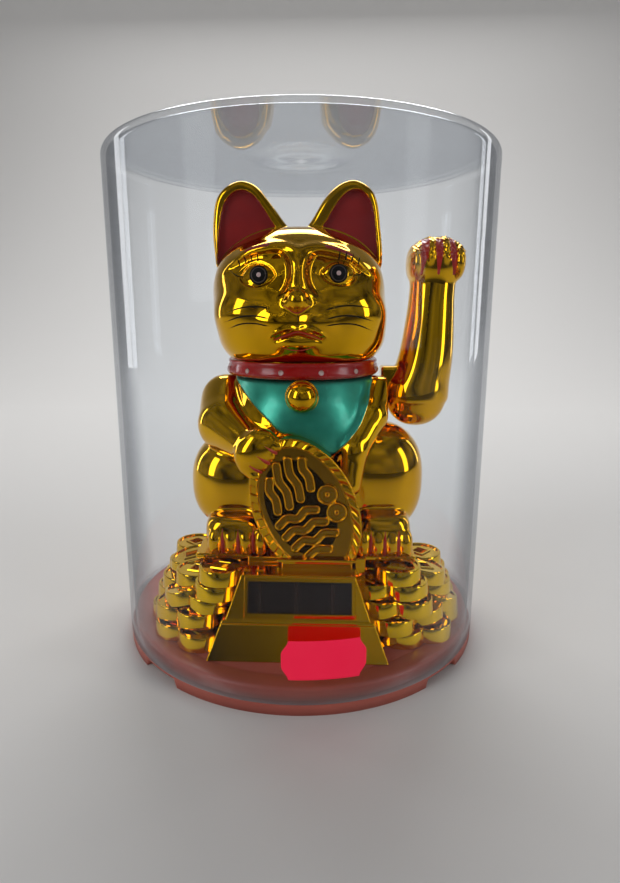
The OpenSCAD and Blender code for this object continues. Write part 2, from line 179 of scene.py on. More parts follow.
def settle(field, points, rounds=3):
    """Moves points (N, 3) onto a field's surface. Returns them and their unit normals."""
    least_slope, longest = 0.25, 0.6  # these bound a move where the field is flat
    p = points.T.astype(float)
    for _ in range(rounds):
        g = slope_of(field, p)
        move = field(p) / np.maximum((g * g).sum(0), least_slope)
        p = p - g * np.clip(move, -longest, longest)
    g = slope_of(field, p)
    return p.T, (g / np.maximum(np.linalg.norm(g, axis=0), 1e-9)).T


class Skin:
    """The surface of a field as triangles, which paint outlines divide into labelled parts."""

    def __init__(self, field, low, high, cell):
        self.field = field
        low, high = np.array(low, float), np.array(high, float)
        side, batch = 8, 400  # the grid is filled in blocks of this side, so many at a time
        count = np.ceil((high - low) / (cell * side)).astype(int)
        far = 3 * cell
        slack = 1.2  # how far a field may be out, in mm
        lattice = np.stack(np.meshgrid(*[np.arange(n) for n in count], indexing="ij"), -1)
        blocks = lattice.reshape(-1, 3)
        centres = low + (blocks * side + (side - 1) / 2) * cell
        rough = field(centres.T)
        grid = np.where(rough > 0, far, -far).reshape(count).astype(np.float32)
        for axis in range(3):
            grid = np.repeat(grid, side, axis)
        near = blocks[np.abs(rough) < side * cell * 1.1 + slack] * side
        span = np.arange(side)
        offsets = np.stack(np.meshgrid(span, span, span, indexing="ij"), -1).reshape(-1, 3)
        for part in np.array_split(near, max(1, len(near) // batch)):
            index = (part[:, None, :] + offsets).reshape(-1, 3)
            values = field((low + index * cell).T.astype(np.float32))
            grid[index[:, 0], index[:, 1], index[:, 2]] = np.clip(values, -far, far)
        volume = openvdb.FloatGrid(background=far)
        volume.copyFromArray(grid)
        points, quads = volume.convertToQuads(isovalue=0.0)
        self.points, self.normals = settle(field, low + np.array(points) * cell)
        a, b, c, d = np.array(quads).astype(np.int64).T
        pts = self.points
        short = np.linalg.norm(pts[a] - pts[c], axis=1) < np.linalg.norm(pts[b] - pts[d], axis=1)
        one = np.where(short, np.array([a, b, c]), np.array([a, b, d])).T
        two = np.where(short, np.array([a, c, d]), np.array([b, c, d])).T
        self.tris = np.vstack([one, two])
        self.labels = np.zeros(len(self.tris), int)

    def paint(self, shape, label, over=0):
        """Gives a label to the triangles of part over where shape(points) is negative."""
        value = shape(self.points.T)
        least = 1e-5  # keeps every cut off the corners
        value = np.where(np.abs(value) < least, least, value)
        mine = self.labels == over
        inside = value[self.tris] < 0
        some = inside.any(1) & ~inside.all(1) & mine
        self.labels[inside.all(1) & mine] = label
        mixed, flags = self.tris[some], inside[some]
        odd_in = flags.sum(1) == 1
        odd = np.where(odd_in, flags.argmax(1), (~flags).argmax(1))
        rows = np.arange(len(mixed))
        o, a, b = [mixed[rows, (odd + k) % 3] for k in range(3)]
        ends = np.sort(np.vstack([np.array([o, a]).T, np.array([o, b]).T]), axis=1)
        edges, back = np.unique(ends, axis=0, return_inverse=True)
        v0, v1 = value[edges[:, 0]], value[edges[:, 1]]
        t = (v0 / (v0 - v1))[:, None]
        fresh = self.points[edges[:, 0]] * (1 - t) + self.points[edges[:, 1]] * t
        if len(fresh):
            fresh, fresh_normals = settle(self.field, fresh, 2)
            start = len(self.points)
            self.points = np.vstack([self.points, fresh])
            self.normals = np.vstack([self.normals, fresh_normals])
            back = back.reshape(-1) + start
            oa, ob = back[: len(mixed)], back[len(mixed):]
            tips = np.array([o, oa, ob]).T
            rests = np.vstack([np.array([oa, a, b]).T, np.array([oa, b, ob]).T])
            tip_label = np.where(odd_in, label, over)
            rest_label = np.where(odd_in, over, label)
            self.tris = np.vstack([self.tris[~some], tips, rests])
            self.labels = np.hstack([self.labels[~some], tip_label, rest_label, rest_label])

    def part(self, label):
        """The triangles with a label, as points, triangles and normals of their own."""
        tris = self.tris[self.labels == label]
        used, local = np.unique(tris, return_inverse=True)
        return self.points[used], local.reshape(-1, 3), self.normals[used]


def mesh_object(name, points, faces, material, normals=None, crease=None):
    """An object from arrays in millimetres. faces is an array of triangles or quads, or a list.

    Edges that turn by more than crease degrees stay sharp.
    """
    mesh = bpy.data.meshes.new(name)
    if isinstance(faces, np.ndarray):
        count, corners = faces.shape
        mesh.vertices.add(len(points))
        mesh.vertices.foreach_set("co", (np.asarray(points) * MM).astype(np.float32).ravel())
        mesh.loops.add(count * corners)
        mesh.loops.foreach_set("vertex_index", faces.astype(np.int32).ravel())
        mesh.polygons.add(count)
        starts = np.arange(0, count * corners, corners, dtype=np.int32)
        mesh.polygons.foreach_set("loop_start", starts)
        mesh.update(calc_edges=True)
    else:
        mesh.from_pydata([tuple(np.asarray(p) * MM) for p in points], [], faces)
    mesh.validate()
    mesh.polygons.foreach_set("use_smooth", np.ones(len(mesh.polygons), bool))
    if normals is not None:
        mesh.normals_split_custom_set_from_vertices(np.asarray(normals, np.float32))
    if crease is not None:
        mesh.set_sharp_from_angle(angle=math.radians(crease))
    made = bpy.data.objects.new(name, mesh)
    bpy.context.scene.collection.objects.link(made)
    mesh.materials.append(material)
    return made


def mesh_piece(name, points, faces, material, body, slot=None, normals=None, stands_for=(),
               crease=None):
    """A piece of the figurine that rides on a body and may stand for CAD nodes."""
    piece = mesh_object(name, points, faces, material, normals, crease)
    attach(piece, body)
    if stands_for:
        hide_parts(*stands_for)


def skin_piece(name, skin, label, material, body, slot=None, stands_for=()):
    points, tris, normals = skin.part(label)
    mesh_piece(name, points, tris, material, body, slot, normals, stands_for)


def plated_shells(name, skin, body):
    """Splits a skin's plated part at the middle plane into its front and rear shell."""
    rear = 2
    skin.paint(lambda p: -p[1], rear)
    for side, label in (("front", 0), ("rear", rear)):
        skin_piece(f"{name}_{side}_shell", skin, label, GOLD, body, "plated_gold",
                   (f"{name}_{side}",))


def drop(field, x, z):
    """The first surface that rays along +Y meet, for arrays of x and z, and its normals."""
    y = np.full(x.shape, RAY_START)
    close_enough, most_steps = 2e-4, 90
    for _ in range(most_steps):
        gap = field(np.array([x, y, z]))
        y = y + np.clip(gap * 0.8, -1, 3)
        if np.abs(gap).max() < close_enough:
            break
    points = np.array([x, y, z]).T
    g = slope_of(field, points.T)
    return points, (g / np.linalg.norm(g, axis=0)).T


def grid_faces(rows, columns, wrap):
    """Quads of a grid of points, closed across its columns if wrap."""
    faces = []
    for r in range(rows - 1):
        for c in range(columns if wrap else columns - 1):
            n = (c + 1) % columns
            here, above = r * columns, (r + 1) * columns
            faces.append([here + c, here + n, above + n, above + c])
    return np.array(faces)


def ribbon(route, width, field, height=0.1, tips=(0.15, 0.15)):
    """A thin raised painted line on a surface. tips are the shares of its run that taper."""
    path = smooth_path(route, 0.28)
    points, normals = drop(field, path[:, 0], path[:, 1])
    along = np.gradient(points, axis=0)
    along /= np.linalg.norm(along, axis=1)[:, None]
    across = np.cross(along, normals)
    t = np.linspace(0, 1, len(points))
    grow = np.minimum(step(t, -1e-6, tips[0] + 1e-6), step(1 - t, -1e-6, tips[1] + 1e-6))
    thin = 0.12  # a tip's share of the full width
    half = width / 2 * (thin + (1 - thin) * grow)
    # The line's cross-section, in shares of half its width and of its height.
    section = [(-1, -0.08), (-0.75, 0.6), (0, 1), (0.75, 0.6), (1, -0.08), (0, -1.2)]
    rings = [points + across * (half * s)[:, None] + normals * height * h for s, h in section]
    cloud = np.stack(rings, 1).reshape(-1, 3)
    faces = grid_faces(len(points), len(section), True)
    last = (len(points) - 1) * len(section)
    caps = [list(range(len(section)))[::-1], [last + k for k in range(len(section))]]
    return cloud, [list(f) for f in faces[:, ::-1]] + caps


def spot(centre, radius, field, rise, rings=7, segments=48):
    """A round painted spot on a surface, whose rim sinks just under it."""
    angles = np.linspace(0, 2 * math.pi, segments, endpoint=False)
    shares = np.linspace(0, 1, rings + 1)[1:]
    x = [centre[0]] + [centre[0] + s * radius * math.cos(a) for s in shares for a in angles]
    z = [centre[1]] + [centre[1] + s * radius * math.sin(a) for s in shares for a in angles]
    points, normals = drop(field, np.array(x), np.array(z))
    sink = -0.06
    lift = np.array([rise] + [rise if s < 0.99 else sink for s in shares for _ in angles])
    cloud = points + normals * lift[:, None]
    fan = [[0, 1 + k, 1 + (k + 1) % segments] for k in range(segments)]
    rest = grid_faces(rings, segments, True) + 1
    return cloud, fan + [list(f) for f in rest]


def gather(parts):
    """Several clouds with their faces as one."""
    cloud, faces, start = [], [], 0
    for points, own in parts:
        cloud.append(np.asarray(points))
        faces += [[start + k for k in f] for f in own]
        start += len(points)
    return np.vstack(cloud), faces


def turned(profile, segments, centre=(0, 0)):
    """A lathe form about a vertical axis from a closed run of (radius, height) points."""
    cloud = []
    for r, z in profile:
        for k in range(segments):
            a = 2 * math.pi * k / segments
            cloud.append((centre[0] + r * math.cos(a), centre[1] + r * math.sin(a), z))
    last = (len(profile) - 1) * segments
    joint = [[last + k, last + (k + 1) % segments, (k + 1) % segments, k] for k in range(segments)]
    return np.array(cloud), np.vstack([grid_faces(len(profile), segments, True), joint])


def arc(centre, radius, start, end, steps):
    """Points of an arc in a plane, angles in degrees."""
    return [(centre[0] + radius * math.cos(math.radians(start + (end - start) * k / steps)),
             centre[1] + radius * math.sin(math.radians(start + (end - start) * k / steps)))
            for k in range(steps + 1)]


# ---- Materials ----


def add_node(tree, kind, **values):
    """Adds a shader node with some of its inputs set."""
    node = tree.nodes.new("ShaderNode" + kind)
    for name, value in values.items():
        node.inputs[name.replace("_", " ")].default_value = value
    return node


def add_noise(tree, place, scale, detail):
    noise = add_node(tree, "TexNoise", Scale=scale, Detail=detail)
    tree.links.new(place, noise.inputs["Vector"])
    return noise.outputs["Fac"]


def add_range(tree, value, low, high, from_low, from_high):
    """A value carried from one range to another."""
    node = add_node(tree, "MapRange", From_Min=from_low, From_Max=from_high,
                    To_Min=low, To_Max=high)
    tree.links.new(value, node.inputs["Value"])
    return node.outputs["Result"]


def add_ramp(tree, value, *stops):
    """A colour that changes with a value between two stops, each a position and a colour."""
    ramp = add_node(tree, "ValToRGB")
    for element, (position, colour) in zip(ramp.color_ramp.elements, stops):
        element.position = position
        element.color = (*colour, 1)
    tree.links.new(value, ramp.inputs["Fac"])
    return ramp.outputs["Color"]


class Finish:
    """A node material whose pattern is laid out in the object's own space, in metres."""

    def __init__(self, name, colour, rough, metal=0.0, **sockets):
        self.material = bpy.data.materials.new(name)
        self.material.use_nodes = True
        self.tree = self.material.node_tree
        self.shader = self.tree.nodes["Principled BSDF"]
        self.shader.inputs["Base Color"].default_value = (*colour, 1)
        self.shader.inputs["Roughness"].default_value = rough
        self.shader.inputs["Metallic"].default_value = metal
        for socket, value in sockets.items():
            self.shader.inputs[socket.replace("_", " ")].default_value = value
        self.place = add_node(self.tree, "TexCoord").outputs["Object"]

    def noise(self, scale, detail=2.0):
        return add_noise(self.tree, self.place, scale, detail)

    def spread(self, value, low, high, from_low=0.3, from_high=0.7):
        return add_range(self.tree, value, low, high, from_low, from_high)

    def blend(self, value, first, second, low=0.35, high=0.65):
        return add_ramp(self.tree, value, (low, first), (high, second))

    def colour(self, output):
        self.tree.links.new(output, self.shader.inputs["Base Color"])

    def rough(self, output):
        self.tree.links.new(output, self.shader.inputs["Roughness"])

    def bumped(self, output, depth, strength):
        """Finishes the material with a relief, and returns it."""
        node = add_node(self.tree, "Bump", Strength=strength, Distance=depth)
        self.tree.links.new(output, node.inputs["Height"])
        self.tree.links.new(node.outputs["Normal"], self.shader.inputs["Normal"])
        return self.material


def plated(name, light, dark, rough=0.05):
    """Vacuum-metallised plastic: a mirror with faint waviness, haze and fine handling marks."""
    f = Finish(name, light, rough, 1.0)
    f.colour(f.blend(f.noise(22, 3), dark, light))
    f.rough(f.spread(f.noise(60, 4), rough, rough + 0.07, 0.4, 0.75))
    return f.bumped(f.noise(260, 1), 0.00002, 0.5)


def painted(name, colour, dark, rough=0.3, coat=0.3, specular=0.5):
    """Brushed or sprayed gloss paint, a little uneven in tone and shine."""
    f = Finish(name, colour, rough, Coat_Weight=coat, Coat_Roughness=0.08,
               Specular_IOR_Level=specular)
    f.colour(f.blend(f.noise(90, 3), dark, colour))
    f.rough(f.spread(f.noise(240, 3), rough, rough + 0.15))
    return f.bumped(f.noise(1400, 2), 0.000005, 0.5)


def moulded(name, colour, dark, rough=0.4, grain=900, depth=0.000003, metal=0.0, **sockets):
    """Plastic, metal or paper as it comes from a mould or a press, with a fine grain."""
    f = Finish(name, colour, rough, metal, **sockets)
    f.colour(f.blend(f.noise(35, 4), dark, colour))
    f.rough(f.spread(f.noise(120, 4), rough, min(1, rough + 0.18)))
    return f.bumped(f.noise(grain, 2), depth, 0.5)


def pearl_green():
    """Satin pearl lacquer over the plating, with fine flakes."""
    f = Finish("pearl_green", (0.02, 0.32, 0.23), 0.34, 0.75, Coat_Weight=0.3, Coat_Roughness=0.12)
    f.colour(f.blend(f.noise(70, 4), (0.03, 0.36, 0.24), (0.07, 0.54, 0.38)))
    f.rough(f.spread(f.noise(300, 3), 0.3, 0.44))
    return f.bumped(f.noise(4200, 2), 0.000012, 0.6)


def solar_glass():
    """Dark amorphous cell: near-black glass with fine strips across it."""
    f = Finish("solar_glass", (0.016, 0.009, 0.010), 0.12, Coat_Weight=0.6, Coat_Roughness=0.06)
    wave = add_node(f.tree, "TexWave", Scale=26, Distortion=0.0)
    f.tree.links.new(f.place, wave.inputs["Vector"])
    f.colour(f.blend(wave.outputs["Fac"], (0.034, 0.021, 0.015), (0.020, 0.012, 0.009), 0.0, 0.12))
    f.rough(f.spread(f.noise(160, 3), 0.10, 0.2))
    return f.bumped(f.noise(500, 2), 0.000001, 0.5)


def clear_plastic(name, tint):
    """A thin clear wall: what is behind shows through unbent, and it shines at grazing angles."""
    edge_tint = (0.45, 0.46, 0.48)
    material = bpy.data.materials.new(name)
    material.use_nodes = True
    tree = material.node_tree
    tree.nodes.remove(tree.nodes["Principled BSDF"])
    facing = add_node(tree, "LayerWeight", Blend=0.5).outputs["Facing"]
    through = add_node(tree, "BsdfTransparent")
    tree.links.new(add_ramp(tree, facing, (0.55, tint), (1.0, edge_tint)), through.inputs["Color"])
    shine = add_node(tree, "BsdfGlossy", Color=(0.95, 0.97, 1, 1))
    marks = add_noise(tree, add_node(tree, "TexCoord").outputs["Object"], 60, 5)
    tree.links.new(add_range(tree, marks, 0.02, 0.09, 0.4, 0.8), shine.inputs["Roughness"])
    power = add_node(tree, "Math")
    power.operation = "POWER"
    power.inputs[1].default_value = 4.0
    tree.links.new(facing, power.inputs[0])
    mix = add_node(tree, "MixShader")
    tree.links.new(add_range(tree, power.outputs["Value"], 0.006, 0.7, 0, 1), mix.inputs["Fac"])
    tree.links.new(through.outputs["BSDF"], mix.inputs[1])
    tree.links.new(shine.outputs["BSDF"], mix.inputs[2])
    tree.links.new(mix.outputs["Shader"], tree.nodes["Material Output"].inputs["Surface"])
    return material


GOLD = plated("plated_gold", (0.90, 0.49, 0.012), (0.80, 0.40, 0.008))
# A darker copy of the plating: painted shade on the koban's sunk panel and the cores of its marks.
SHADED_GOLD = plated("plated_gold_painted_shade", (0.40, 0.21, 0.012), (0.28, 0.13, 0.008), 0.14)
DARK_GOLD = plated("plated_gold_ground", (0.050, 0.028, 0.007), (0.026, 0.014, 0.004), 0.16)
COIN_GOLD = plated("plated_gold_coins", (0.94, 0.58, 0.018), (0.84, 0.47, 0.011), 0.07)
RED_PAINT = painted("red_paint", (0.62, 0.03, 0.015), (0.5, 0.02, 0.012))
EAR_RED = painted("ear_red", (0.40, 0.014, 0.012), (0.33, 0.01, 0.01), 0.28, 0.5)
BLACK_PAINT = painted("black_paint", (0.006, 0.005, 0.004), (0.003, 0.003, 0.003), 0.6, 0.0, 0.2)
BROWN_PAINT = painted("brown_paint", (0.075, 0.05, 0.035), (0.045, 0.03, 0.02), 0.45, 0.1)
PALE_PAINT = painted("pale_paint", (0.86, 0.62, 0.58), (0.78, 0.5, 0.47), 0.4, 0.1)
COLLAR_RED = painted("collar_red", (0.50, 0.008, 0.005), (0.42, 0.006, 0.004), 0.14, 0.3)
GREEN = pearl_green()
CLEAR = clear_plastic("clear_polystyrene", (0.955, 0.965, 0.975))
# The label paper also glows by a weak emission: painted light standing in for its fluorescence.
LABEL_RED_GLOWING = moulded("label_paper", (0.95, 0.012, 0.07), (0.86, 0.009, 0.06), 0.7, 2600, 0.00001,
                    Emission_Color=(0.9, 0.008, 0.05, 1), Emission_Strength=0.3)
TRAY_RED = moulded("tray_plastic", (0.52, 0.13, 0.09), (0.44, 0.10, 0.07), 0.33)

# ---- Head ----

HEAD_FLOOR = cad("collar")[1][2]
SKULL = ((-0.8, 0.5, 125.6), (31, 29.5, 23.1), 2.2)  # middle, radii and squareness
FACE_X = 0.1
NOSE_X = -0.2
EYES = [(-13.0, 130.7), (12.9, 131.2)]
EYE_TURN = 24  # degrees, as is the tilt
EYE_TILT = 12
EYE_HALF = (6.1, 3.9)
IRIS_R = 3.25
IRIS_RING_R = 2.35
GLINT_R = 0.85

EAR_Y = 1.5
LEFT_EAR = closed_path([
    (-26, 132), (-30.2, 134.5), (-31.1, 140), (-31.6, 148), (-30.6, 157), (-27.6, 161.8),
    (-22.5, 164.3), (-18.2, 163.8), (-14.8, 161.6), (-11.2, 157.2), (-7.2, 152), (-3.6, 146),
    (-6, 138), (-15, 133)])
RIGHT_EAR = closed_path([
    (25, 132), (28.6, 134.5), (29, 140), (28.2, 148), (27, 156.5), (24.6, 161.4),
    (19.8, 164.2), (15.6, 163.9), (11.6, 161.6), (8, 157.8), (4.6, 152.2), (1.2, 146),
    (4, 138), (14, 133)])
LEFT_EAR_PAINT = closed_path([
    (-29.5, 135), (-29.7, 141), (-29.2, 148), (-27.8, 155.2), (-25.4, 159.2), (-21.9, 161.2),
    (-18.6, 160.6), (-15.4, 158), (-11.6, 152.4), (-8.6, 146.6), (-11, 138), (-22, 132)])
RIGHT_EAR_PAINT = closed_path([
    (26.9, 135), (26.9, 141), (26.3, 148), (25.4, 154.6), (23.6, 158.6), (20.4, 161.1),
    (16.6, 160.5), (13, 157), (9.8, 151.8), (7, 146.2), (10, 138), (20, 132)])


def brow_height(x):
    """Height of the brow ridge: level in the middle, lower to the sides."""
    run = np.sqrt(x * x + 1.5)
    return 139.6 - 0.021 * np.maximum(run - 7, 0) ** 2 - 0.045 * x - 1.2 * bell_curve(x, 2.8)


def eye_axes(side):
    """An eye's own directions: across, up and out of the face."""
    turn, tilt = math.radians(EYE_TURN * side), math.radians(EYE_TILT)
    level = math.cos(tilt)
    out = np.array([math.sin(turn) * level, -math.cos(turn) * level, math.sin(tilt)])
    across = np.array([math.cos(turn), math.sin(turn), 0])
    return across, np.cross(out, across), out


def ear(p, outline, half_low, half_high, middle_y):
    """One ear: a rounded plate that thins towards its tip."""
    flat = outline_distance(p[0], p[2], outline)
    half = half_low + (half_high - half_low) * step(p[2], 138, 164)
    edge = 2.1
    return rounded([flat + edge, np.abs(p[1] - middle_y) - half + edge], edge)


def ears(p):
    """Both ears with their sunk fronts, worked out only where they stand out of the skull."""
    d = np.full(p[0].shape, 50.0)
    for side, outline, paint in ((-1, LEFT_EAR, LEFT_EAR_PAINT), (1, RIGHT_EAR, RIGHT_EAR_PAINT)):
        near = (p[2] > 131) & (p[0] * side > -2.5)
        if near.any():
            q = p[:, near]
            form = ear(q, outline, 5.0, 3.2, EAR_Y)
            floor = EAR_Y - 2.3 + 1.3 * step(q[2], 150, 164)
            pit = np.maximum(outline_distance(q[0], q[2], paint), q[1] - floor)
            d[near] = np.minimum(d[near], keep(form, -pit, 0.5))
    return d


def face_relief(p):
    """How far the face's features stand out of the skull or sink into it."""
    x, y, z = p
    u = x - FACE_X
    side = np.abs(u)
    brow = brow_height(u)
    below_brow = brow - z
    across = side - 12.2
    span = np.sqrt((across / np.where(across < 0, 9.8, 13.5)) ** 2 + ((z - 131.6) / 9.6) ** 2)
    wall = 0.85 - 0.55 * step(-across, 0, 6)
    socket = step((1.12 - span) / wall, 0, 1) * step(below_brow, 0.2, 2.4)
    ridge = bell_curve(below_brow + 0.7, 1.5) * step(23.5 - side, 0, 7)
    bridge = bell_curve(u, 2.9) * step(z, 118, 126) * step(brow + 3 - z, 0, 6)
    chin_fold = bell_curve((z - 106.4 - 0.012 * side ** 2) / 1.6, 1) * step(17 - side, 0, 8)
    front = step(-y, 6, 16)
    return front * (-2.5 * socket + 0.8 * ridge + 1.3 * bridge - 0.25 * chin_fold)


def mouth_line(x):
    """Height of the line between the lips."""
    return 112.9 - 0.37 * np.sqrt(x * x + 0.3)


def cheeks_and_pads(p, d):
    for side in (-1, 1):
        d = join(d, superoid(p, (FACE_X + side * 15.5, -16.4, 118.6), (12.5, 11.6, 10), 2.0), 9)
    pads = [superoid(p, (FACE_X + side * 6.3, -25.4, 116.2), (7.6, 6.6, 5.6)) for side in (-1, 1)]
    return join(d, join(pads[0], pads[1], 1.2), 4)


def nose(p, d):
    tip = superoid(p, (NOSE_X, -28.9, 122.8), (3.7, 4.8, 3.8), 2.1)
    for side in (-1, 1):
        tip = join(tip, superoid(p, (NOSE_X + side * 2.9, -28.4, 121.6), (1.8, 3.2, 1.8)), 1.6)
    return join(d, tip, 2.4)


def mouth(p, d):
    """The muzzle under the nose, a groove over the upper lip, both lips."""
    u, z = p[0] - FACE_X, p[2]
    d = join(d, superoid(p, (FACE_X, -24.6, 110.4), (10.2, 5.2, 4.8), 2.0), 4)
    front = step(-p[1], 18, 24)
    upper = 114.5 - 1.0 * bell_curve(u, 1.9) - 0.034 * u * u
    reach = step(10.2 - np.abs(u), 0, 3)
    d = d - front * reach * 0.55 * bell_curve(z - upper, 0.75)
    d = d + front * step(9 - np.abs(u), 0, 3) * 0.7 * bell_curve(z - mouth_line(u), 0.7)
    return join(d, superoid(p, (FACE_X, -27.0, 109.7), (7.4, 3.6, 2.5)), 1.2)


def eyes(p, d):
    """Both eyeballs, each with a line sunk round it between its lids."""
    half_wide, half_high = EYE_HALF
    bow = 0.5 * (half_wide ** 2 / half_high + half_high)
    for (ex, ez), side in zip(EYES, (-1, 1)):
        across, up, out = eye_axes(side)
        q = [p[0] - ex, p[1] + 22.2, p[2] - ez]
        a = sum(across[i] * q[i] for i in range(3))
        b = sum(up[i] * q[i] for i in range(3))
        eyeball = superoid(p, (ex, -20.9, ez), (6.5, 4.3, 4.6), 2.0, (across, out, up))
        d = join(d, eyeball, 0.9)
        lens = np.sqrt(a * a + (np.abs(b) + bow - half_high) ** 2) - bow
        lids = 0.42 * bell_curve(lens + 0.1, 0.55) - 0.15 * bell_curve(lens - 0.9, 0.7)
        d = d + lids * step(-p[1], 16, 20)
    return d


def head_field(p):
    jaw = superoid(p, (0.5, -0.4, 113.6), (30.2, 28.4, 16.2), 2.6)
    d = join(superoid(p, *SKULL), jaw, 7) - face_relief(p)
    d = cheeks_and_pads(p, d)
    d = eyes(p, mouth(p, nose(p, d)))
    return keep(join(d, ears(p), 1.0), HEAD_FLOOR - p[2], 1.2)


def ear_paint(p):
    """Negative on the sunk fronts of the ears."""
    flat = [outline_distance(p[0], p[2], paint) for paint in (LEFT_EAR_PAINT, RIGHT_EAR_PAINT)]
    return np.maximum(np.maximum(np.minimum(*flat) - 0.05, p[1] - 1.4), 0.7 - superoid(p, *SKULL))


def make_head():
    skin = Skin(head_field, (-34, -36, HEAD_FLOOR - 1), (32.5, 31.5, 166), 0.5)
    skin.paint(ear_paint, 1)
    plated_shells("head", skin, "case")
    skin_piece("ear_paint", skin, 1, EAR_RED, "case", "collar_red")


def eyelashes(ex, ez, side):
    """Four upright lashes over an eye, and one at its outer corner."""
    lashes = []
    for k in range(4):
        foot_x = ex + side * (0.2 + 2.15 * k)
        foot_z = ez + 4.6 - 0.154 * k * k
        route = [(foot_x, foot_z), (foot_x + side * 0.25, foot_z + 1.5),
                 (foot_x + side * (0.35 + 0.14 * k), foot_z + 3.1 - 0.15 * k)]
        lashes.append(ribbon(route, 0.5, head_field, 0.14, (0.1, 0.4)))
    corner_x = ex + side * EYE_HALF[0]
    route = [(corner_x - side * 0.6, ez - 0.3), (corner_x + side * 1.5, ez + 0.3),
             (corner_x + side * 4.2, ez + 2.2)]
    return lashes + [ribbon(route, 0.44, head_field, 0.12, (0.2, 0.6))]


def make_eyes():
    irises, rings, glints, lashes = [], [], [], []
    for (ex, ez), side in zip(EYES, (-1, 1)):
        x, z = ex + 0.15, ez + 0.25
        irises.append(spot((x, z), IRIS_R, head_field, 0.09))
        rings.append(ribbon(arc((x, z), IRIS_RING_R, 0, 360, 24), 0.5, head_field, 0.2, (0, 0)))
        glints.append(spot((x + 0.05, z + 0.05), GLINT_R, head_field, 0.2, 4, 24))
        lashes += eyelashes(ex, ez, side)
    mesh_piece("eye_irises", *gather(irises), BLACK_PAINT, "case")
    mesh_piece("eye_rings", *gather(rings), BROWN_PAINT, "case")
    mesh_piece("eye_glints", *gather(glints), PALE_PAINT, "case")
    mesh_piece("eyelashes", *gather(lashes), BLACK_PAINT, "case")


def make_whiskers():
    whiskers = [ribbon(route, 0.48, head_field, 0.14, (0.1, 0.25)) for route in (
        [(-8.8, 120.4), (-13, 120.9), (-18, 120.6), (-23.6, 119.0)],
        [(-9.2, 117.2), (-14, 118.0), (-19, 117.6), (-24.2, 116.0)],
        [(-9.2, 114.8), (-14, 115.6), (-18.5, 115.4), (-23.2, 113.8)],
        [(8.8, 119.8), (13, 120.9), (18, 121.2), (24.4, 120.4)],
        [(9.2, 117.0), (14, 118.0), (19, 117.8), (24.8, 116.2)],
        [(9.0, 114.9), (14, 115.5), (19, 115.2), (24.4, 113.2)])]
    under_nose = [(0.1, 118.6), (0.15, 117.2), (0.05, 115.6)]
    whiskers.append(ribbon(under_nose, 0.3, head_field, 0.1, (0.2, 0.5)))
    mesh_piece("whiskers", *gather(whiskers), BLACK_PAINT, "case")


def make_face_red_lines():
    nose_edge = [(-4.9, 121.6), (-3.2, 120.4), (-0.2, 118.9), (2.9, 120.5), (4.6, 121.7)]
    between_lips = [(-7.7, 110.4), (-5, 111.4), (-2.4, 112.3), (0.1, 113), (2.6, 112.4),
                    (5.2, 111.6), (7.8, 110.6)]
    under_lip = [(-5.6, 108.2), (-2.8, 107.3), (0.1, 106.9), (3, 107.4), (5.8, 108.4)]
    lines = [ribbon(nose_edge, 0.5, head_field, 0.12, (0.25, 0.25)),
             ribbon(between_lips, 0.8, head_field, 0.35, (0.3, 0.3)),
             ribbon(under_lip, 0.5, head_field, 0.2, (0.4, 0.4))]
    mesh_piece("face_red_lines", *gather(lines), RED_PAINT, "case")


# ---- Body ----

BODY_FLOOR = cad("body_front")[0][2]
NECK_R = 21.6
NECK_X = (cad("collar")[0][0] + cad("collar")[1][0]) / 2
PIVOT = (29, 0, 94.5)
SHAFT_ROOM_R = 6.6
ARM_ROOM = (31.0, 80.4)  # beyond this x and above this z the body leaves room for the elbow

BIB = closed_path([
    (-24.6, 98.5), (-23.6, 96.2), (-20.7, 93.3), (-15.4, 88.7), (-10.3, 84.4), (-6, 80.4),
    (-1.5, 79.6), (2.6, 78.2), (7, 75.2), (10.2, 73), (12.4, 73), (16.2, 76.6), (20.8, 81.9),
    (23.5, 88.2), (24.6, 93), (25, 98.5), (16, 101), (0, 102), (-16, 101)])
FEET = [((-22, -20.5, 42.2), (11.2, 11, 8.0), (-28.9, -23.3, -18.0, -12.9)),
        ((29.8, -20.5, 42.8), (9.8, 11, 8.5), (22.8, 27.7, 32.5, 37))]
PAW = np.array([-13.2, -34.6, 74.4])
PAW_LONG = np.array([0.6, 0, 0.8])
PAW_REACH = np.array([0.8, 0, -0.6])
FINGERS = (-6.3, -2.1, 2.1, 6.0)


def holding_arm(p):
    """The lowered arm, with its paw and four fingers over the koban's rim."""
    upper = limb(p, (-27.3, -3, 86.5), (-26.6, -15.0, 80.0), 10.2, 9.8)
    fore = limb(p, (-26.0, -16, 79.6), (-15.2, -31, 74.8), 9.2, 6.8)
    arm = join(upper, fore, 3)
    paw = superoid(p, PAW, (8.4, 6.6, 5.0), 2.2, (PAW_LONG, PAW_REACH, np.array([0, 1, 0])))
    for along in FINGERS:
        root = PAW + along * PAW_LONG - (0, 1.0, 0)
        paw = join(paw, limb(p, root, root + 4.0 * PAW_REACH - (0, 0.8, 0), 2.3, 2.2), 0.8)
    return join(arm, paw, 1.8)


def shoulder_ridge(p):
    """The fold that runs down from the shoulder of the raised arm beside the bib."""
    route = [(27.4, -11, 92), (25.2, -19.6, 84), (18.8, -27, 73.4), (17.2, -29.6, 62)]
    radii = (5.8, 5.6, 5, 4.4)
    upper, middle, lower = [limb(p, *route[k:k + 2], *radii[k:k + 2]) for k in range(3)]
    return join(join(upper, middle, 2), lower, 2)


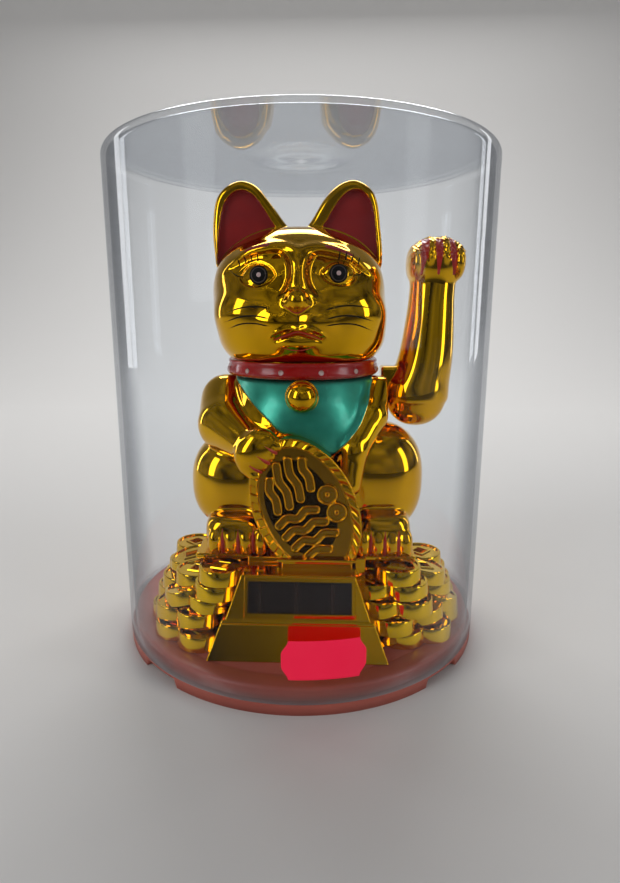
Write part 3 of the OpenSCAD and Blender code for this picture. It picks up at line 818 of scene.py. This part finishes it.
def body_field(p):
    x, y, z = p
    spread = 31.6 - 0.0023 * np.maximum(z - 48, 0) ** 2 - 0.012 * np.maximum(48 - z, 0) ** 2
    torso = (np.sqrt((x - 1) ** 2 + (y * 1.06) ** 2) - spread) * 0.95
    torso = keep(torso, z - 97.6, 7)
    chest = superoid(p, (1, -9, 79), (24.5, 23.2, 21), 2.2)
    d = join(torso, chest, 7)
    d = join(d, superoid(p, (19.4, -4, 84), (11.4, 14, 15.4), 2.2), 6)
    d = join(d, shoulder_ridge(p), 4)
    thighs = join(superoid(p, (-23.8, -6, 57.5), (16.8, 18.5, 18), 2.4),
                  superoid(p, (27.4, -6, 59), (18, 18.5, 20.4), 2.5), 2)
    d = join(d, thighs, 3)
    d = join(d, holding_arm(p), 1.8)
    for centre, radii, toes in FEET:
        foot = superoid(p, centre, radii, 3.2)
        for u in toes:
            foot = join(foot, superoid(p, (u, -28.0, 40.4), (2.9, 4.6, 5.6), 2.4), 1.0)
        d = join(d, foot, 1.6)
    bib = outline_distance(x, z, BIB)
    d = d - 0.45 * step(-bib, -0.3, 0.5) * step(-y, 4, 10)
    neck = np.maximum(np.sqrt((x - NECK_X) ** 2 + y * y) - NECK_R, z - 103)
    d = join(keep(d, z - 97, 2.2), neck, 1.2)
    shaft_room = np.maximum(np.sqrt(y * y + (z - PIVOT[2]) ** 2) - SHAFT_ROOM_R, PIVOT[0] - 0.1 - x)
    d = keep(d, -shaft_room, 0.8)
    d = keep(d, -np.maximum(ARM_ROOM[0] - x, ARM_ROOM[1] - z), 0.8)
    return keep(d, BODY_FLOOR - z, 1.0)


def bib_paint(p):
    """Negative on the green bib."""
    flat = outline_distance(p[0], p[2], BIB)
    return np.maximum(np.maximum(flat, p[1] + 3), p[2] - 97.6)


def make_body():
    skin = Skin(body_field, (-42, -42, BODY_FLOOR - 1), (47, 35, 104), 0.6)
    skin.paint(bib_paint, 1)
    plated_shells("body", skin, "case")
    skin_piece("green_bib", skin, 1, GREEN, "case")


def make_body_red_lines():
    """Lines between the toes of the feet and between the fingers on the koban."""
    lines = []
    for _, _, toes in FEET:
        for a, b in zip(toes, toes[1:]):
            middle = (a + b) / 2
            route = [(middle, 46), (middle - 0.1, 41), (middle, 36.6)]
            lines.append(ribbon(route, 1.25, body_field, 0.5, (0.45, 0.1)))
    for a, b in zip(FINGERS, FINGERS[1:]):
        root = PAW + (a + b) / 2 * PAW_LONG
        route = [(root + reach * PAW_REACH)[[0, 2]] for reach in (0.6, 3.2, 5.6)]
        lines.append(ribbon(route, 1.3, body_field, 0.45, (0.8, 0.1)))
    mesh_piece("body_red_lines", *gather(lines), RED_PAINT, "case")


# ---- Waving arm ----

ARM_TOES = (40.7, 45.4, 50.4, 55.3)
ARM_STRIPES = (42.9, 48.0, 53.0)
# Height, middle and radius up the waving arm
ARM_SPINE = smooth_path([
    (86, 43.4, 10.6), (92, 44.2, 10.6), (98, 45.3, 10.4), (106.5, 46.5, 9.6), (118, 47.2, 8.6),
    (124, 47.4, 8.2), (129.4, 47.6, 8.2), (134, 47.8, 8.8)], 0.5)


def arm_field(p):
    x, y, z = p
    middle = np.interp(z, ARM_SPINE[:, 0], ARM_SPINE[:, 1])
    radius = np.interp(z, ARM_SPINE[:, 0], ARM_SPINE[:, 2])
    sleeve = (np.sqrt((x - middle) ** 2 + y * y) - radius) * 0.97
    elbow = superoid(p, (43.0, 0, 88.4), (11.2, 10.6, 11.2), 2.1)
    d = join(keep(sleeve, np.maximum(z - 134, 88 - z), 1.5), elbow, 5)
    paw = superoid(p, (48.3, 0, 136.8), (10, 9.4, 8.4), 2.4)
    for u in ARM_TOES:
        rise = 139.2 - 0.055 * (u - 48.2) ** 2
        paw = join(paw, superoid(p, (u, -1.0, rise), (2.9, 9.2, 6.4), 2.2), 1.0)
    d = join(d, paw, 1.6)
    bumps = np.sin(x * 2.6 + 1.1 * np.sin(z * 1.7)) * np.sin(z * 2.9 + 1.3 * np.sin(x * 1.9))
    d = d - 0.22 * bumps * step(z, 136.5, 139.5) * step(-y, 0, 4)
    stub = box(p, (35.5, 0, PIVOT[2]), (5.9, 4.2, 5.0), 1.0)
    d = join(d, stub, 1.4)
    return keep(d, 29.6 - x, 0.5)


def stripe_paint(p):
    """Negative on the red stripes between the toes, wide at the tips and thin at their roots."""
    x, y, z = p
    half = 0.45 + 0.75 * step(z, 132, 140)
    fan = 0.02 * (z - 138)  # the stripes spread out towards the tips
    aside = np.minimum.reduce([np.abs(x - u + fan * (u - 48)) for u in ARM_STRIPES])
    return np.maximum.reduce([aside - half, 131.8 - z, y + 1.5, z - 144.2])


def make_arm():
    skin = Skin(arm_field, (28.5, -14, 74), (61, 14, 148), 0.5)
    skin.paint(stripe_paint, 1)
    plated_shells("arm", skin, "arm")
    skin_piece("paw_stripes", skin, 1, RED_PAINT, "arm")


# ---- Collar and bell ----

COLLAR_DOTS = 13


def collar_dot(turn, outer, height):
    """A low round stud on the collar's wall, facing outwards."""
    points = 20
    out = np.array([math.cos(turn), math.sin(turn), 0])
    side = np.array([-math.sin(turn), math.cos(turn), 0])
    up = np.array([0, 0, 1.0])
    centre = out * (outer + 0.02) + up * height + np.array([NECK_X, 0, 0])
    cloud = [centre + radius * (math.cos(a) * side + math.sin(a) * up) + out * rise
             for radius, rise in ((0.95, -0.25), (0.8, 0.05))
             for a in np.linspace(0, 2 * math.pi, points, endpoint=False)]
    faces = [list(f) for f in grid_faces(2, points, True)]
    faces += [[2 * points, points + (j + 1) % points, points + j] for j in range(points)]
    return np.array(cloud + [centre + out * 0.12]), [f[::-1] for f in faces]


def make_collar():
    low, high = cad("collar")
    inner, outer = NECK_R + 0.35, (high[0] - low[0]) / 2
    profile = [(inner, low[2]), (outer - 1.6, low[2])]
    profile += arc((outer - 1.6, low[2] + 1.6), 1.6, -90, 20, 8)[1:]
    profile += [(outer - 0.9, high[2] - 1.5)]
    profile += arc((outer - 1.4, high[2] - 0.75), 0.75, -10, 130, 6)
    profile += [(outer - (outer - inner) * 0.45, high[2] - 0.4), (inner, high[2] - 0.2)]
    points, faces = turned(profile, 144, (NECK_X, 0))
    mesh_piece("collar_band", points, faces, COLLAR_RED, "case", "collar_red",
               stands_for=("collar",))
    turns = [math.radians((k + 0.5) * 360 / COLLAR_DOTS + 0.85 - 90) for k in range(COLLAR_DOTS)]
    dots = [collar_dot(turn, outer, low[2] + 2.4) for turn in turns]
    mesh_piece("collar_dots", *gather(dots), PALE_PAINT, "case")


def make_bell():
    low, high = cad("bell")
    centre = (low + high) / 2
    radius = (high[0] - low[0]) / 2

    def bell_field(p):
        globe = ball(p, centre, radius - 0.5)
        around = np.sqrt((p[0] - centre[0]) ** 2 + (p[2] - centre[2]) ** 2)
        flange = np.sqrt((around - radius + 0.5) ** 2 + (p[1] - centre[1] - 0.8) ** 2) - 0.5
        return join(globe, flange, 0.6)

    skin = Skin(bell_field, low - 1.5, high + 1.5, 0.3)
    skin_piece("bell_shell", skin, 0, GOLD, "case", "plated_gold", ("bell",))


# ---- Koban ----

KOBAN_MID = (2.9, 55.3)
KOBAN_HALF = (17.1, 25.4)
KOBAN_RIM = 3.4
KOBAN_LEAN = math.radians(-23.3)
KOBAN_BACK = -32.0
KOBAN_FRONT = -38.4
STAND_TOP = 38.4

KOBAN_STROKES = [smooth_path(stroke, 0.6) for stroke in (
    [(-8.6, 3.2), (-7.7, 7), (-8.3, 10.6), (-7, 13.6)],
    [(-4.3, 3.4), (-3.3, 8), (-4.1, 12.4), (-2.9, 17.4)],
    [(0.1, 4.4), (1, 8.8), (0.2, 13.2), (1.2, 17.6)],
    [(4.6, 6.4), (5.4, 10), (4.7, 13.2), (5.4, 15.8)],
    [(-10.2, -1.6), (-6.8, -0.3), (-3.4, -1.6), (0, 0), (3.2, -1)],
    [(-9.8, -6.2), (-6.4, -4.9), (-2.8, -6.2), (0.8, -4.8), (4.4, -6)],
    [(-8.4, -10.8), (-4.8, -9.5), (-1.2, -10.9), (2.4, -9.6), (6, -10.9)],
    [(-5.6, -15.2), (-2, -14.1), (1.8, -15.4)])]
KOBAN_RINGS = [(8.7, 2.2), (9.2, -4.6)]
RING_R = 1.9


def koban_plane(x, z):
    """A point's place on the leaning coin: across it and along it."""
    dx, dz = x - KOBAN_MID[0], z - KOBAN_MID[1]
    c, s = math.cos(KOBAN_LEAN), math.sin(KOBAN_LEAN)
    return c * dx - s * dz, s * dx + c * dz


def oval_distance(u, v, half):
    """About the distance in a plane to an ellipse, negative inside."""
    k = np.sqrt((u / half[0]) ** 2 + (v / half[1]) ** 2) + 1e-6
    slope = np.sqrt((u / half[0] ** 2) ** 2 + (v / half[1] ** 2) ** 2) + 1e-6
    return k * (k - 1) / slope


def stroke_distance(u, v):
    """Distance to the middle of the nearest raised mark of the panel."""
    marks = [path_distance(u, v, stroke) for stroke in KOBAN_STROKES]
    marks += [np.abs(np.sqrt((u - a) ** 2 + (v - b) ** 2) - RING_R) for a, b in KOBAN_RINGS]
    return np.minimum.reduce(marks)


def koban_relief(u, v):
    """Height of the coin's face: rim braided on its right and notched on its left, and marks."""
    inner = oval_distance(u, v, (KOBAN_HALF[0] - KOBAN_RIM, KOBAN_HALF[1] - KOBAN_RIM))
    turn = np.arctan2(v / KOBAN_HALF[1], u / KOBAN_HALF[0])
    braid = np.abs(np.sin(turn * 14 + inner * 0.7))
    notch = step(np.sin(turn * 24), -0.25, 0.25)
    right = step(u, -2, 2)
    pattern = right * braid + (1 - right) * notch
    rim = step(inner, 0.1, 0.7)
    edge = step(inner, 2.5, 3.0) + step(0.9 - inner, 0, 0.5)
    marks = stroke_distance(u, v)
    raised = 0.8 * step(1.6 - marks, -0.25, 0.25) * step(marks, 0.75, 1.25) * (1 - rim)
    raised = raised + 0.25 * step(1.0 - marks, -0.2, 0.2) * (1 - rim)
    return rim * (0.25 + 0.75 * np.maximum(pattern, np.clip(edge, 0, 1))) + raised


def koban_field(p):
    u, v = koban_plane(p[0], p[2])
    side = oval_distance(u, v, KOBAN_HALF)
    face = KOBAN_FRONT + 1.0 - koban_relief(u, v) - p[1]
    plate = keep(side, np.maximum(face * 0.8, p[1] - KOBAN_BACK), 0.8)
    return keep(plate, STAND_TOP - p[2], 0.3)


def on_koban_face(shape):
    """A paint from a plane shape (u, v), kept to the front of the coin."""
    def paint(p):
        return np.maximum(shape(*koban_plane(p[0], p[2])), p[1] - KOBAN_FRONT - 1.6)
    return paint


def make_koban():
    low, high = cad("koban")
    inner_half = (KOBAN_HALF[0] - KOBAN_RIM, KOBAN_HALF[1] - KOBAN_RIM)
    rim, panel, ground, strokes, cores = range(5)
    skin = Skin(koban_field, low - (1, 1.5, 1.5), high + (1, 1.5, 1.5), 0.36)
    skin.paint(on_koban_face(lambda u, v: oval_distance(u, v, inner_half) - 0.1), panel)
    ground_shape = on_koban_face(lambda u, v: oval_distance(u + 1.2, v - 1.2, (11.0, 17.4)))
    skin.paint(ground_shape, ground, panel)
    for part in (panel, ground):
        skin.paint(on_koban_face(lambda u, v: stroke_distance(u, v) - 1.7), strokes, part)
    skin.paint(on_koban_face(lambda u, v: stroke_distance(u, v) - 0.85), cores, strokes)
    skin.labels[skin.labels == strokes] = rim
    skin.labels[skin.labels == cores] = panel
    skin_piece("koban_coin", skin, rim, GOLD, "case", "plated_gold", ("koban",))
    # The sunk panel and the cores of the marks take the darker plating, as painted shade.
    skin_piece("koban_panel", skin, panel, SHADED_GOLD, "case")
    skin_piece("koban_ground", skin, ground, DARK_GOLD, "case")


# ---- Pedestal ----

FLOOR_Z = cad("pedestal")[0][2]
LEDGE_Z = cad("body_front")[0][2]
HOUSING_X = 0.6
HOUSING_BACK = -31
STEP_Z = 20.4  # here the housing's foot meets its upper part
SLOPE = math.radians(18.9)
WINDOW_MID = (HOUSING_X, -45.4, 27.6)
WINDOW_SHIFT = 0.6
WINDOW_HALF = (18.1, 6.5, 6.2)


def taper_block(p, half, front, z_low, z_high, edge):
    """A block whose sides and front slope: half and front are (value at z_low, value at z_high)."""
    x, y, z = p
    t = (z - z_low) / (z_high - z_low)
    side = np.abs(x - HOUSING_X) - (half[0] + (half[1] - half[0]) * t)
    face = front[0] + (front[1] - front[0]) * t - y
    rise = z_high - z_low
    side = side / math.hypot(1, (half[1] - half[0]) / rise)
    face = face / math.hypot(1, (front[1] - front[0]) / rise)
    ends = np.maximum(z - z_high, z_low - z)
    return np.maximum(rounded([side + edge, face + edge, ends + edge], edge), y - HOUSING_BACK)


def slope_axes(p):
    """A point's place on the housing's leaning front: across, up the slope, out of it."""
    dy, dz = p[1] - WINDOW_MID[1], p[2] - WINDOW_MID[2]
    up = dz * math.cos(SLOPE) + dy * math.sin(SLOPE)
    out = -dy * math.cos(SLOPE) + dz * math.sin(SLOPE)
    return p[0] - WINDOW_MID[0], up, out


def pedestal_field(p):
    x, y, z = p
    middle, half = (FLOOR_Z + LEDGE_Z) / 2, (LEDGE_Z - FLOOR_Z) / 2
    lower = taper_block(p, (30.2, 25.0), (-52.35, -47.9), FLOOR_Z - 1.2, STEP_Z, 0.3)
    upper = taper_block(p, (24.0, 18.9), (-47.7, -43), 20.2, 34.4, 0.3)
    lip = taper_block(p, (25.4, 24.9), (-48.3, -47.9), 19.5, 20.6, 0.25)
    d = join(np.minimum(lower, lip), upper, 0.5)
    for centre, size, edge in (  # under the body, behind the housing, the ledge for the feet
        ((2.5, 7, middle), (32.5, 25, half), 0.5), ((3.1, -24, middle), (20.5, 8, half), 0.5),
        ((2.5, -22, LEDGE_Z - 0.9), (38.5, 8, 0.9), 0.4),
    ):
        d = join(d, box(p, centre, size, edge), edge)
    stand = box(p, (6.7, -34, 36.4), (11.9, 4, 2), 0.3)
    for height in (34.9, STAND_TOP - 0.45):
        stand = np.minimum(stand, box(p, (6.7, -34.4, height), (13.3, 5, 0.5), 0.3))
    d = join(d, stand, 0.3)
    across, up, out = slope_axes(p)
    rim_x, rim_up, depth = WINDOW_HALF
    window = np.maximum(np.abs(across - WINDOW_SHIFT) - rim_x, np.abs(up) - rim_up)
    d = keep(d, -np.maximum(window, -out - depth), 0.3)
    well = np.maximum(np.sqrt((x - 1) ** 2 + y * y) - 27, 28.2 - z)
    cavity = box(p, (2.5, 7, 20), (30.9, 23.4, 14.4), 0.4)
    return keep(keep(keep(d, -well, 0.3), -cavity, 0.3), FLOOR_Z - z, 0.2)


def make_pedestal():
    low, high = cad("pedestal")
    skin = Skin(pedestal_field, low - 1.2, high + 1.2, 0.42)
    skin_piece("pedestal_shell", skin, 0, GOLD, "case", "plated_gold", ("pedestal",))


COIN_R = 8.3
COIN_SEGMENTS = 96
LAYERS = 5
LAYER_H = (34 - FLOOR_Z) / LAYERS


def coin(centre, layer, turn, tilt):
    """A coin with a rim, a sunk field and a square hole in a raised square border."""
    z_low, height = FLOOR_Z + LAYER_H * layer + 0.05, LAYER_H - 0.12  # a hair between coins
    rows = [  # share of squareness, reach, height
        (0, COIN_R - 0.2, 0), (0, COIN_R, 0.15), (0, COIN_R - 0.42, height - 0.4),
        (0, COIN_R - 0.55, height - 0.12), (0, COIN_R - 0.75, height), (0, COIN_R - 1.4, height),
        (0, COIN_R - 1.65, height - 0.55), (0.4, 5.0, height - 0.55), (1, 3.1, height - 0.55),
        (1, 2.85, height - 0.1), (1, 2.25, height - 0.1), (1, 2.1, height - 0.3),
        (1, 2.1, height - 1.6), (1, 0.05, height - 1.6)]
    angles = np.linspace(0, 2 * math.pi, COIN_SEGMENTS, endpoint=False)
    square = 1 / np.maximum(np.abs(np.cos(angles)), np.abs(np.sin(angles)))
    cloud = []
    for share, reach, rise in rows:
        r = reach * (1 + share * (square - 1))
        x, y = r * np.cos(angles + turn), r * np.sin(angles + turn)
        z = z_low + rise + tilt[0] * x + tilt[1] * y
        cloud.append(np.array([centre[0] + x, centre[1] + y, z]).T)
    faces = [list(f) for f in grid_faces(len(rows), COIN_SEGMENTS, True)]
    last = (len(rows) - 1) * COIN_SEGMENTS
    caps = [list(range(COIN_SEGMENTS))[::-1], [last + k for k in range(COIN_SEGMENTS)]]
    return np.vstack(cloud), faces + caps


# Each pile's coins: centre, layer from the floor and, where one leans, its slopes along x and y
LEFT_COINS = [
    (-33, -39.4, 0), (-42.6, -32.2, 0), (-47.4, -19, 0), (-48, -4.5, 0),
    (-34.6, -34.2, 1), (-43.2, -28.6, 1), (-46.2, -14.5, 1), (-46.6, -1, 1),
    (-30.6, -32.8, 2), (-39.8, -28.6, 2.05, 0.2, -0.08), (-43.5, -17, 2), (-44.5, -3.6, 2),
    (-27.6, -34.2, 3), (-36.4, -24.6, 3), (-41.4, -13, 3.05, 0.18, 0.06), (-42.4, 0.6, 3),
    (-26.2, -33.5, 4)]
RIGHT_COINS = [
    (36.2, -34.6, 0), (46.2, -30.6, 0), (51.4, -17.4, 0), (52.6, -3, 0),
    (32.6, -36, 1), (43.6, -28, 1), (50.4, -19.6, 1.1, -0.2, -0.1), (51, -1.6, 1),
    (29, -33.4, 2), (38.8, -33.2, 2), (48, -17.6, 2), (48.6, -4.2, 2),
    (26, -30.2, 3), (37.3, -31, 3), (45.4, -20, 3.1, -0.18, -0.06), (46.4, -6, 3),
    (34.7, -30.5, 4)]


def make_coins():
    for side, layout in (("left", LEFT_COINS), ("right", RIGHT_COINS)):
        coins = [coin((x, y), layer, 0.8 + 0.6 * math.sin(2.1 * k), lean or (0, 0))
                 for k, (x, y, layer, *lean) in enumerate(layout)]
        mesh_piece("coins_" + side, *gather(coins), COIN_GOLD, "case", "plated_gold",
                   stands_for=("coin_pile_" + side,), crease=28)


# ---- Display case ----


def tray_profile(high):
    """(radius, height) points of the tray. None is its lower edge, which arches lift in places."""
    flange_r, floor_z = high[0], high[2]
    flange_z = cad("clear_cover")[0][2]
    rim_r = cad("clear_cover")[1][0] - 2.0
    under_r, under_z = 63.0, floor_z - 1.8
    rows = [(0.02, floor_z), (57.4, floor_z), (58.0, floor_z - 0.35), (58.6, floor_z)]
    rows += [(rim_r - 1.2, floor_z)] + arc((rim_r - 1.2, floor_z - 1.2), 1.2, 70, 0, 4)
    rows += [(rim_r, flange_z + 0.1), (rim_r + 0.2, flange_z), (flange_r - 0.5, flange_z)]
    rows += arc((flange_r - 0.5, flange_z - 0.5), 0.5, 60, 0, 3)
    return rows + [(flange_r, None), (under_r, None), (under_r, flange_z - 0.9), (under_r, under_z),
                   (0.02, under_z)]


def make_tray():
    rows = tray_profile(cad("base_tray")[1])
    arch_z = cad("clear_cover")[0][2] - 1.0
    segments = 720
    arch_turn, arch_half = 47.2, 14.5 / 2  # four arches, in degrees
    cloud = []
    for r, z in rows:
        for k in range(segments):
            a = 360 * k / segments
            from_arch = abs((a - arch_turn + 45) % 90 - 45)
            edge = arch_z * (1 - step(from_arch, arch_half - 0.5, arch_half + 0.5))
            turn = math.radians(a)
            cloud.append((r * math.cos(turn), r * math.sin(turn), edge if z is None else z))
    faces = grid_faces(len(rows), segments, True)
    mesh_piece("tray", np.array(cloud), faces, TRAY_RED, "case", "tray_plastic",
               stands_for=("base_tray",))


def make_cover():
    low, high = cad("clear_cover")
    outer, wall = high[0], 1.6
    inner = outer - wall
    top = high[2]
    profile = [(inner, low[2]), (inner, 12), (inner, 60), (inner, 120), (inner, top - wall - 2.6)]
    profile += arc((inner - 2.4, top - wall - 2.4), 2.4, 0, 90, 10)
    profile += [(r, top - wall) for r in (45, 20, 0.02)] + [(r, top) for r in (0.02, 20, 45)]
    profile += arc((outer - 3.6, top - 3.6), 3.6, 90, 0, 12)
    profile += [(outer, top - 3.8), (outer, 120), (outer, 60), (outer, 12), (outer, low[2])]
    points, faces = turned(profile, 256)
    mesh_piece("cover", points, faces, CLEAR, "cover", "clear_plastic", stands_for=("clear_cover",))


def make_label():
    """The blank price-gun label, wrapped on the cover, with notched ends."""
    low, high = cad("price_label")
    radius = cad("clear_cover")[1][0]
    middle, span, notch_depth = math.radians(-81.9), math.radians(22.1), 4.2
    columns, rows = 40, 24
    cloud = []
    for reach in (radius + 0.02, radius + 0.1):
        for r in range(rows + 1):
            z = low[2] + (high[2] - low[2]) * r / rows
            notch = notch_depth / radius * step(abs(2 * r / rows - 1), 0.3, 1.0)
            for c in range(columns + 1):
                a = middle + (c / columns - 0.5) * (span - notch)
                cloud.append((reach * math.cos(a), reach * math.sin(a), z))
    size = (rows + 1) * (columns + 1)
    back = grid_faces(rows + 1, columns + 1, False)
    border = (list(range(columns + 1)) + [r * (columns + 1) + columns for r in range(1, rows + 1)]
              + [rows * (columns + 1) + c for c in range(columns - 1, -1, -1)]
              + [r * (columns + 1) for r in range(rows - 1, 0, -1)])
    sides = [[a, b, b + size, a + size] for a, b in zip(border, border[1:] + border[:1])]
    faces = np.vstack([back + size, back[:, ::-1], sides])
    mesh_piece("price_sticker", np.array(cloud), faces, LABEL_RED_GLOWING, "cover", "label_paper",
               stands_for=("price_label",))


# ---- Parts that keep their CAD meshes ----


def finish_nodes(names, material):
    """Gives CAD nodes that keep their own meshes their material."""
    for name in names.split():
        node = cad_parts[name]
        node.data.materials.clear()
        node.data.materials.append(material)


def finish_inner_parts():
    for names, look, light, dark, rough, grain, metal in (
        ("tray_screws base_screws shell_screws board_screws bracket_screws shaft_retainer",
         "screw_steel", (0.62, 0.62, 0.60), (0.45, 0.45, 0.44), 0.28, 1500, 1.0),
        ("bottom_plate driver_transistor", "dark_plastic",
         (0.035, 0.035, 0.038), (0.02, 0.02, 0.022), 0.42, 900, 0.0),
        ("coil_bobbin bearing_bracket pendulum_lever", "white_plastic",
         (0.80, 0.79, 0.76), (0.72, 0.71, 0.68), 0.38, 900, 0.0),
        ("drive_coil", "copper_winding", (0.72, 0.26, 0.10), (0.55, 0.18, 0.07), 0.3, 2400, 1.0),
        ("solar_leads", "lead_insulation", (0.5, 0.03, 0.02), (0.4, 0.02, 0.015), 0.45, 900, 0.0),
        ("circuit_board", "board_laminate",
         (0.02, 0.20, 0.09), (0.015, 0.15, 0.07), 0.35, 900, 0.0),
        ("storage_capacitor", "capacitor_sleeve",
         (0.03, 0.05, 0.16), (0.02, 0.03, 0.1), 0.35, 900, 0.0),
        ("arm_shaft", "shaft_steel", (0.7, 0.7, 0.69), (0.6, 0.6, 0.59), 0.2, 2000, 1.0),
        ("counterweight", "cast_weight", (0.30, 0.30, 0.31), (0.2, 0.2, 0.21), 0.5, 1200, 1.0),
        ("drive_magnet", "magnet_nickel", (0.66, 0.64, 0.60), (0.55, 0.53, 0.5), 0.22, 900, 1.0),
    ):
        finish_nodes(names, moulded(look, light, dark, rough, grain, metal=metal))
    finish_nodes("solar_bezel", GOLD)
    finish_nodes("solar_cell", solar_glass())


# ---- Stage, light and camera ----


STAGE_HALF = 2.4
SWEEP_R = 0.5


def studio_paper():
    """Pale paper that darkens towards the camera, so the plating has something dark to mirror."""
    dark, pale = (0.07, 0.07, 0.07), (0.74, 0.73, 0.715)
    f = Finish("studio_paper", pale, 0.7)
    split = add_node(f.tree, "SeparateXYZ")
    f.tree.links.new(f.place, split.inputs["Vector"])
    f.colour(f.blend(f.spread(split.outputs["Y"], 0, 1, -0.5, -0.14), dark, pale, 0.0, 1.0))
    return f.bumped(f.noise(300, 2), 0.00002, 0.5)


def make_stage():
    """A floor that sweeps up into a wall behind the object, just under its feet."""
    rows = [(-STAGE_HALF, 0.0), (SWEEP_R, 0.0)]
    rows += [(SWEEP_R * (1 + math.sin(a)), SWEEP_R * (1 - math.cos(a)))
             for a in np.linspace(0.1, math.pi / 2, 16)]
    rows += [(2 * SWEEP_R, STAGE_HALF)]
    points = [(x / MM, y / MM, z / MM - 0.02) for y, z in rows for x in (-STAGE_HALF, STAGE_HALF)]
    faces = [[2 * k, 2 * k + 1, 2 * k + 3, 2 * k + 2] for k in range(len(rows) - 1)]
    floor = mesh_object("studio_floor", points, faces, studio_paper())


def add_light(name, place, size, power):
    """A rectangular softbox that points at the middle of the object."""
    data = bpy.data.lights.new(name, "AREA")
    data.shape = "RECTANGLE"
    data.size, data.size_y = size
    data.energy = power
    light = bpy.data.objects.new(name, data)
    light.location = place
    aim = Vector((0, 0, 0.09)) - Vector(place)
    light.rotation_euler = aim.to_track_quat("-Z", "Y").to_euler()
    bpy.context.scene.collection.objects.link(light)


def make_lights():
    add_light("top_softbox", (0.0, 0.75, 0.88), (0.9, 0.3), 7.0)
    add_light("left_softbox", (-0.95, -0.75, 0.6), (0.4, 1.0), 4.4)
    add_light("right_softbox", (1.05, -0.5, 0.5), (0.3, 1.0), 2.8)
    add_light("left_rim_strip", (-1.0, 0.42, 0.3), (0.12, 0.8), 1.2)
    add_light("right_rim_strip", (0.95, 0.6, 0.3), (0.10, 0.8), 0.9)


def make_world():
    """A dim room with soft brighter patches, for the plating to mirror."""
    world = bpy.data.worlds.new("studio")
    world.use_nodes = True
    tree = world.node_tree
    patches = add_noise(tree, add_node(tree, "TexCoord").outputs["Generated"], 2.3, 2.0)
    room = add_ramp(tree, patches, (0.34, (0.02, 0.02, 0.02)), (0.70, (0.36, 0.36, 0.37)))
    background = tree.nodes["Background"]
    tree.links.new(room, background.inputs["Color"])
    background.inputs["Strength"].default_value = 0.8
    bpy.context.scene.world = world
    bpy.context.scene.view_settings.view_transform = "Standard"


def make_camera():
    """A close camera a little above the middle, turned slightly and tipped down."""
    turn, tip, reach, height = math.radians(2.2), math.radians(12.54), 0.2239, 0.120
    data = bpy.data.cameras.new("camera")
    data.lens = 24.18
    data.sensor_width = 36
    data.sensor_fit = "AUTO"
    data.shift_x = 0.010
    data.clip_start = 0.01
    camera = bpy.data.objects.new("camera", data)
    camera.location = (reach * math.sin(turn), -reach * math.cos(turn), height)
    camera.rotation_euler = (math.pi / 2 - tip, 0, turn)
    bpy.context.scene.collection.objects.link(camera)
    bpy.context.scene.camera = camera


make_head()
make_eyes()
make_whiskers()
make_face_red_lines()
make_body()
make_body_red_lines()
make_arm()
make_collar()
make_bell()
make_koban()
make_pedestal()
make_coins()
make_tray()
make_cover()
make_label()
finish_inner_parts()
make_stage()
make_lights()
make_world()
make_camera()
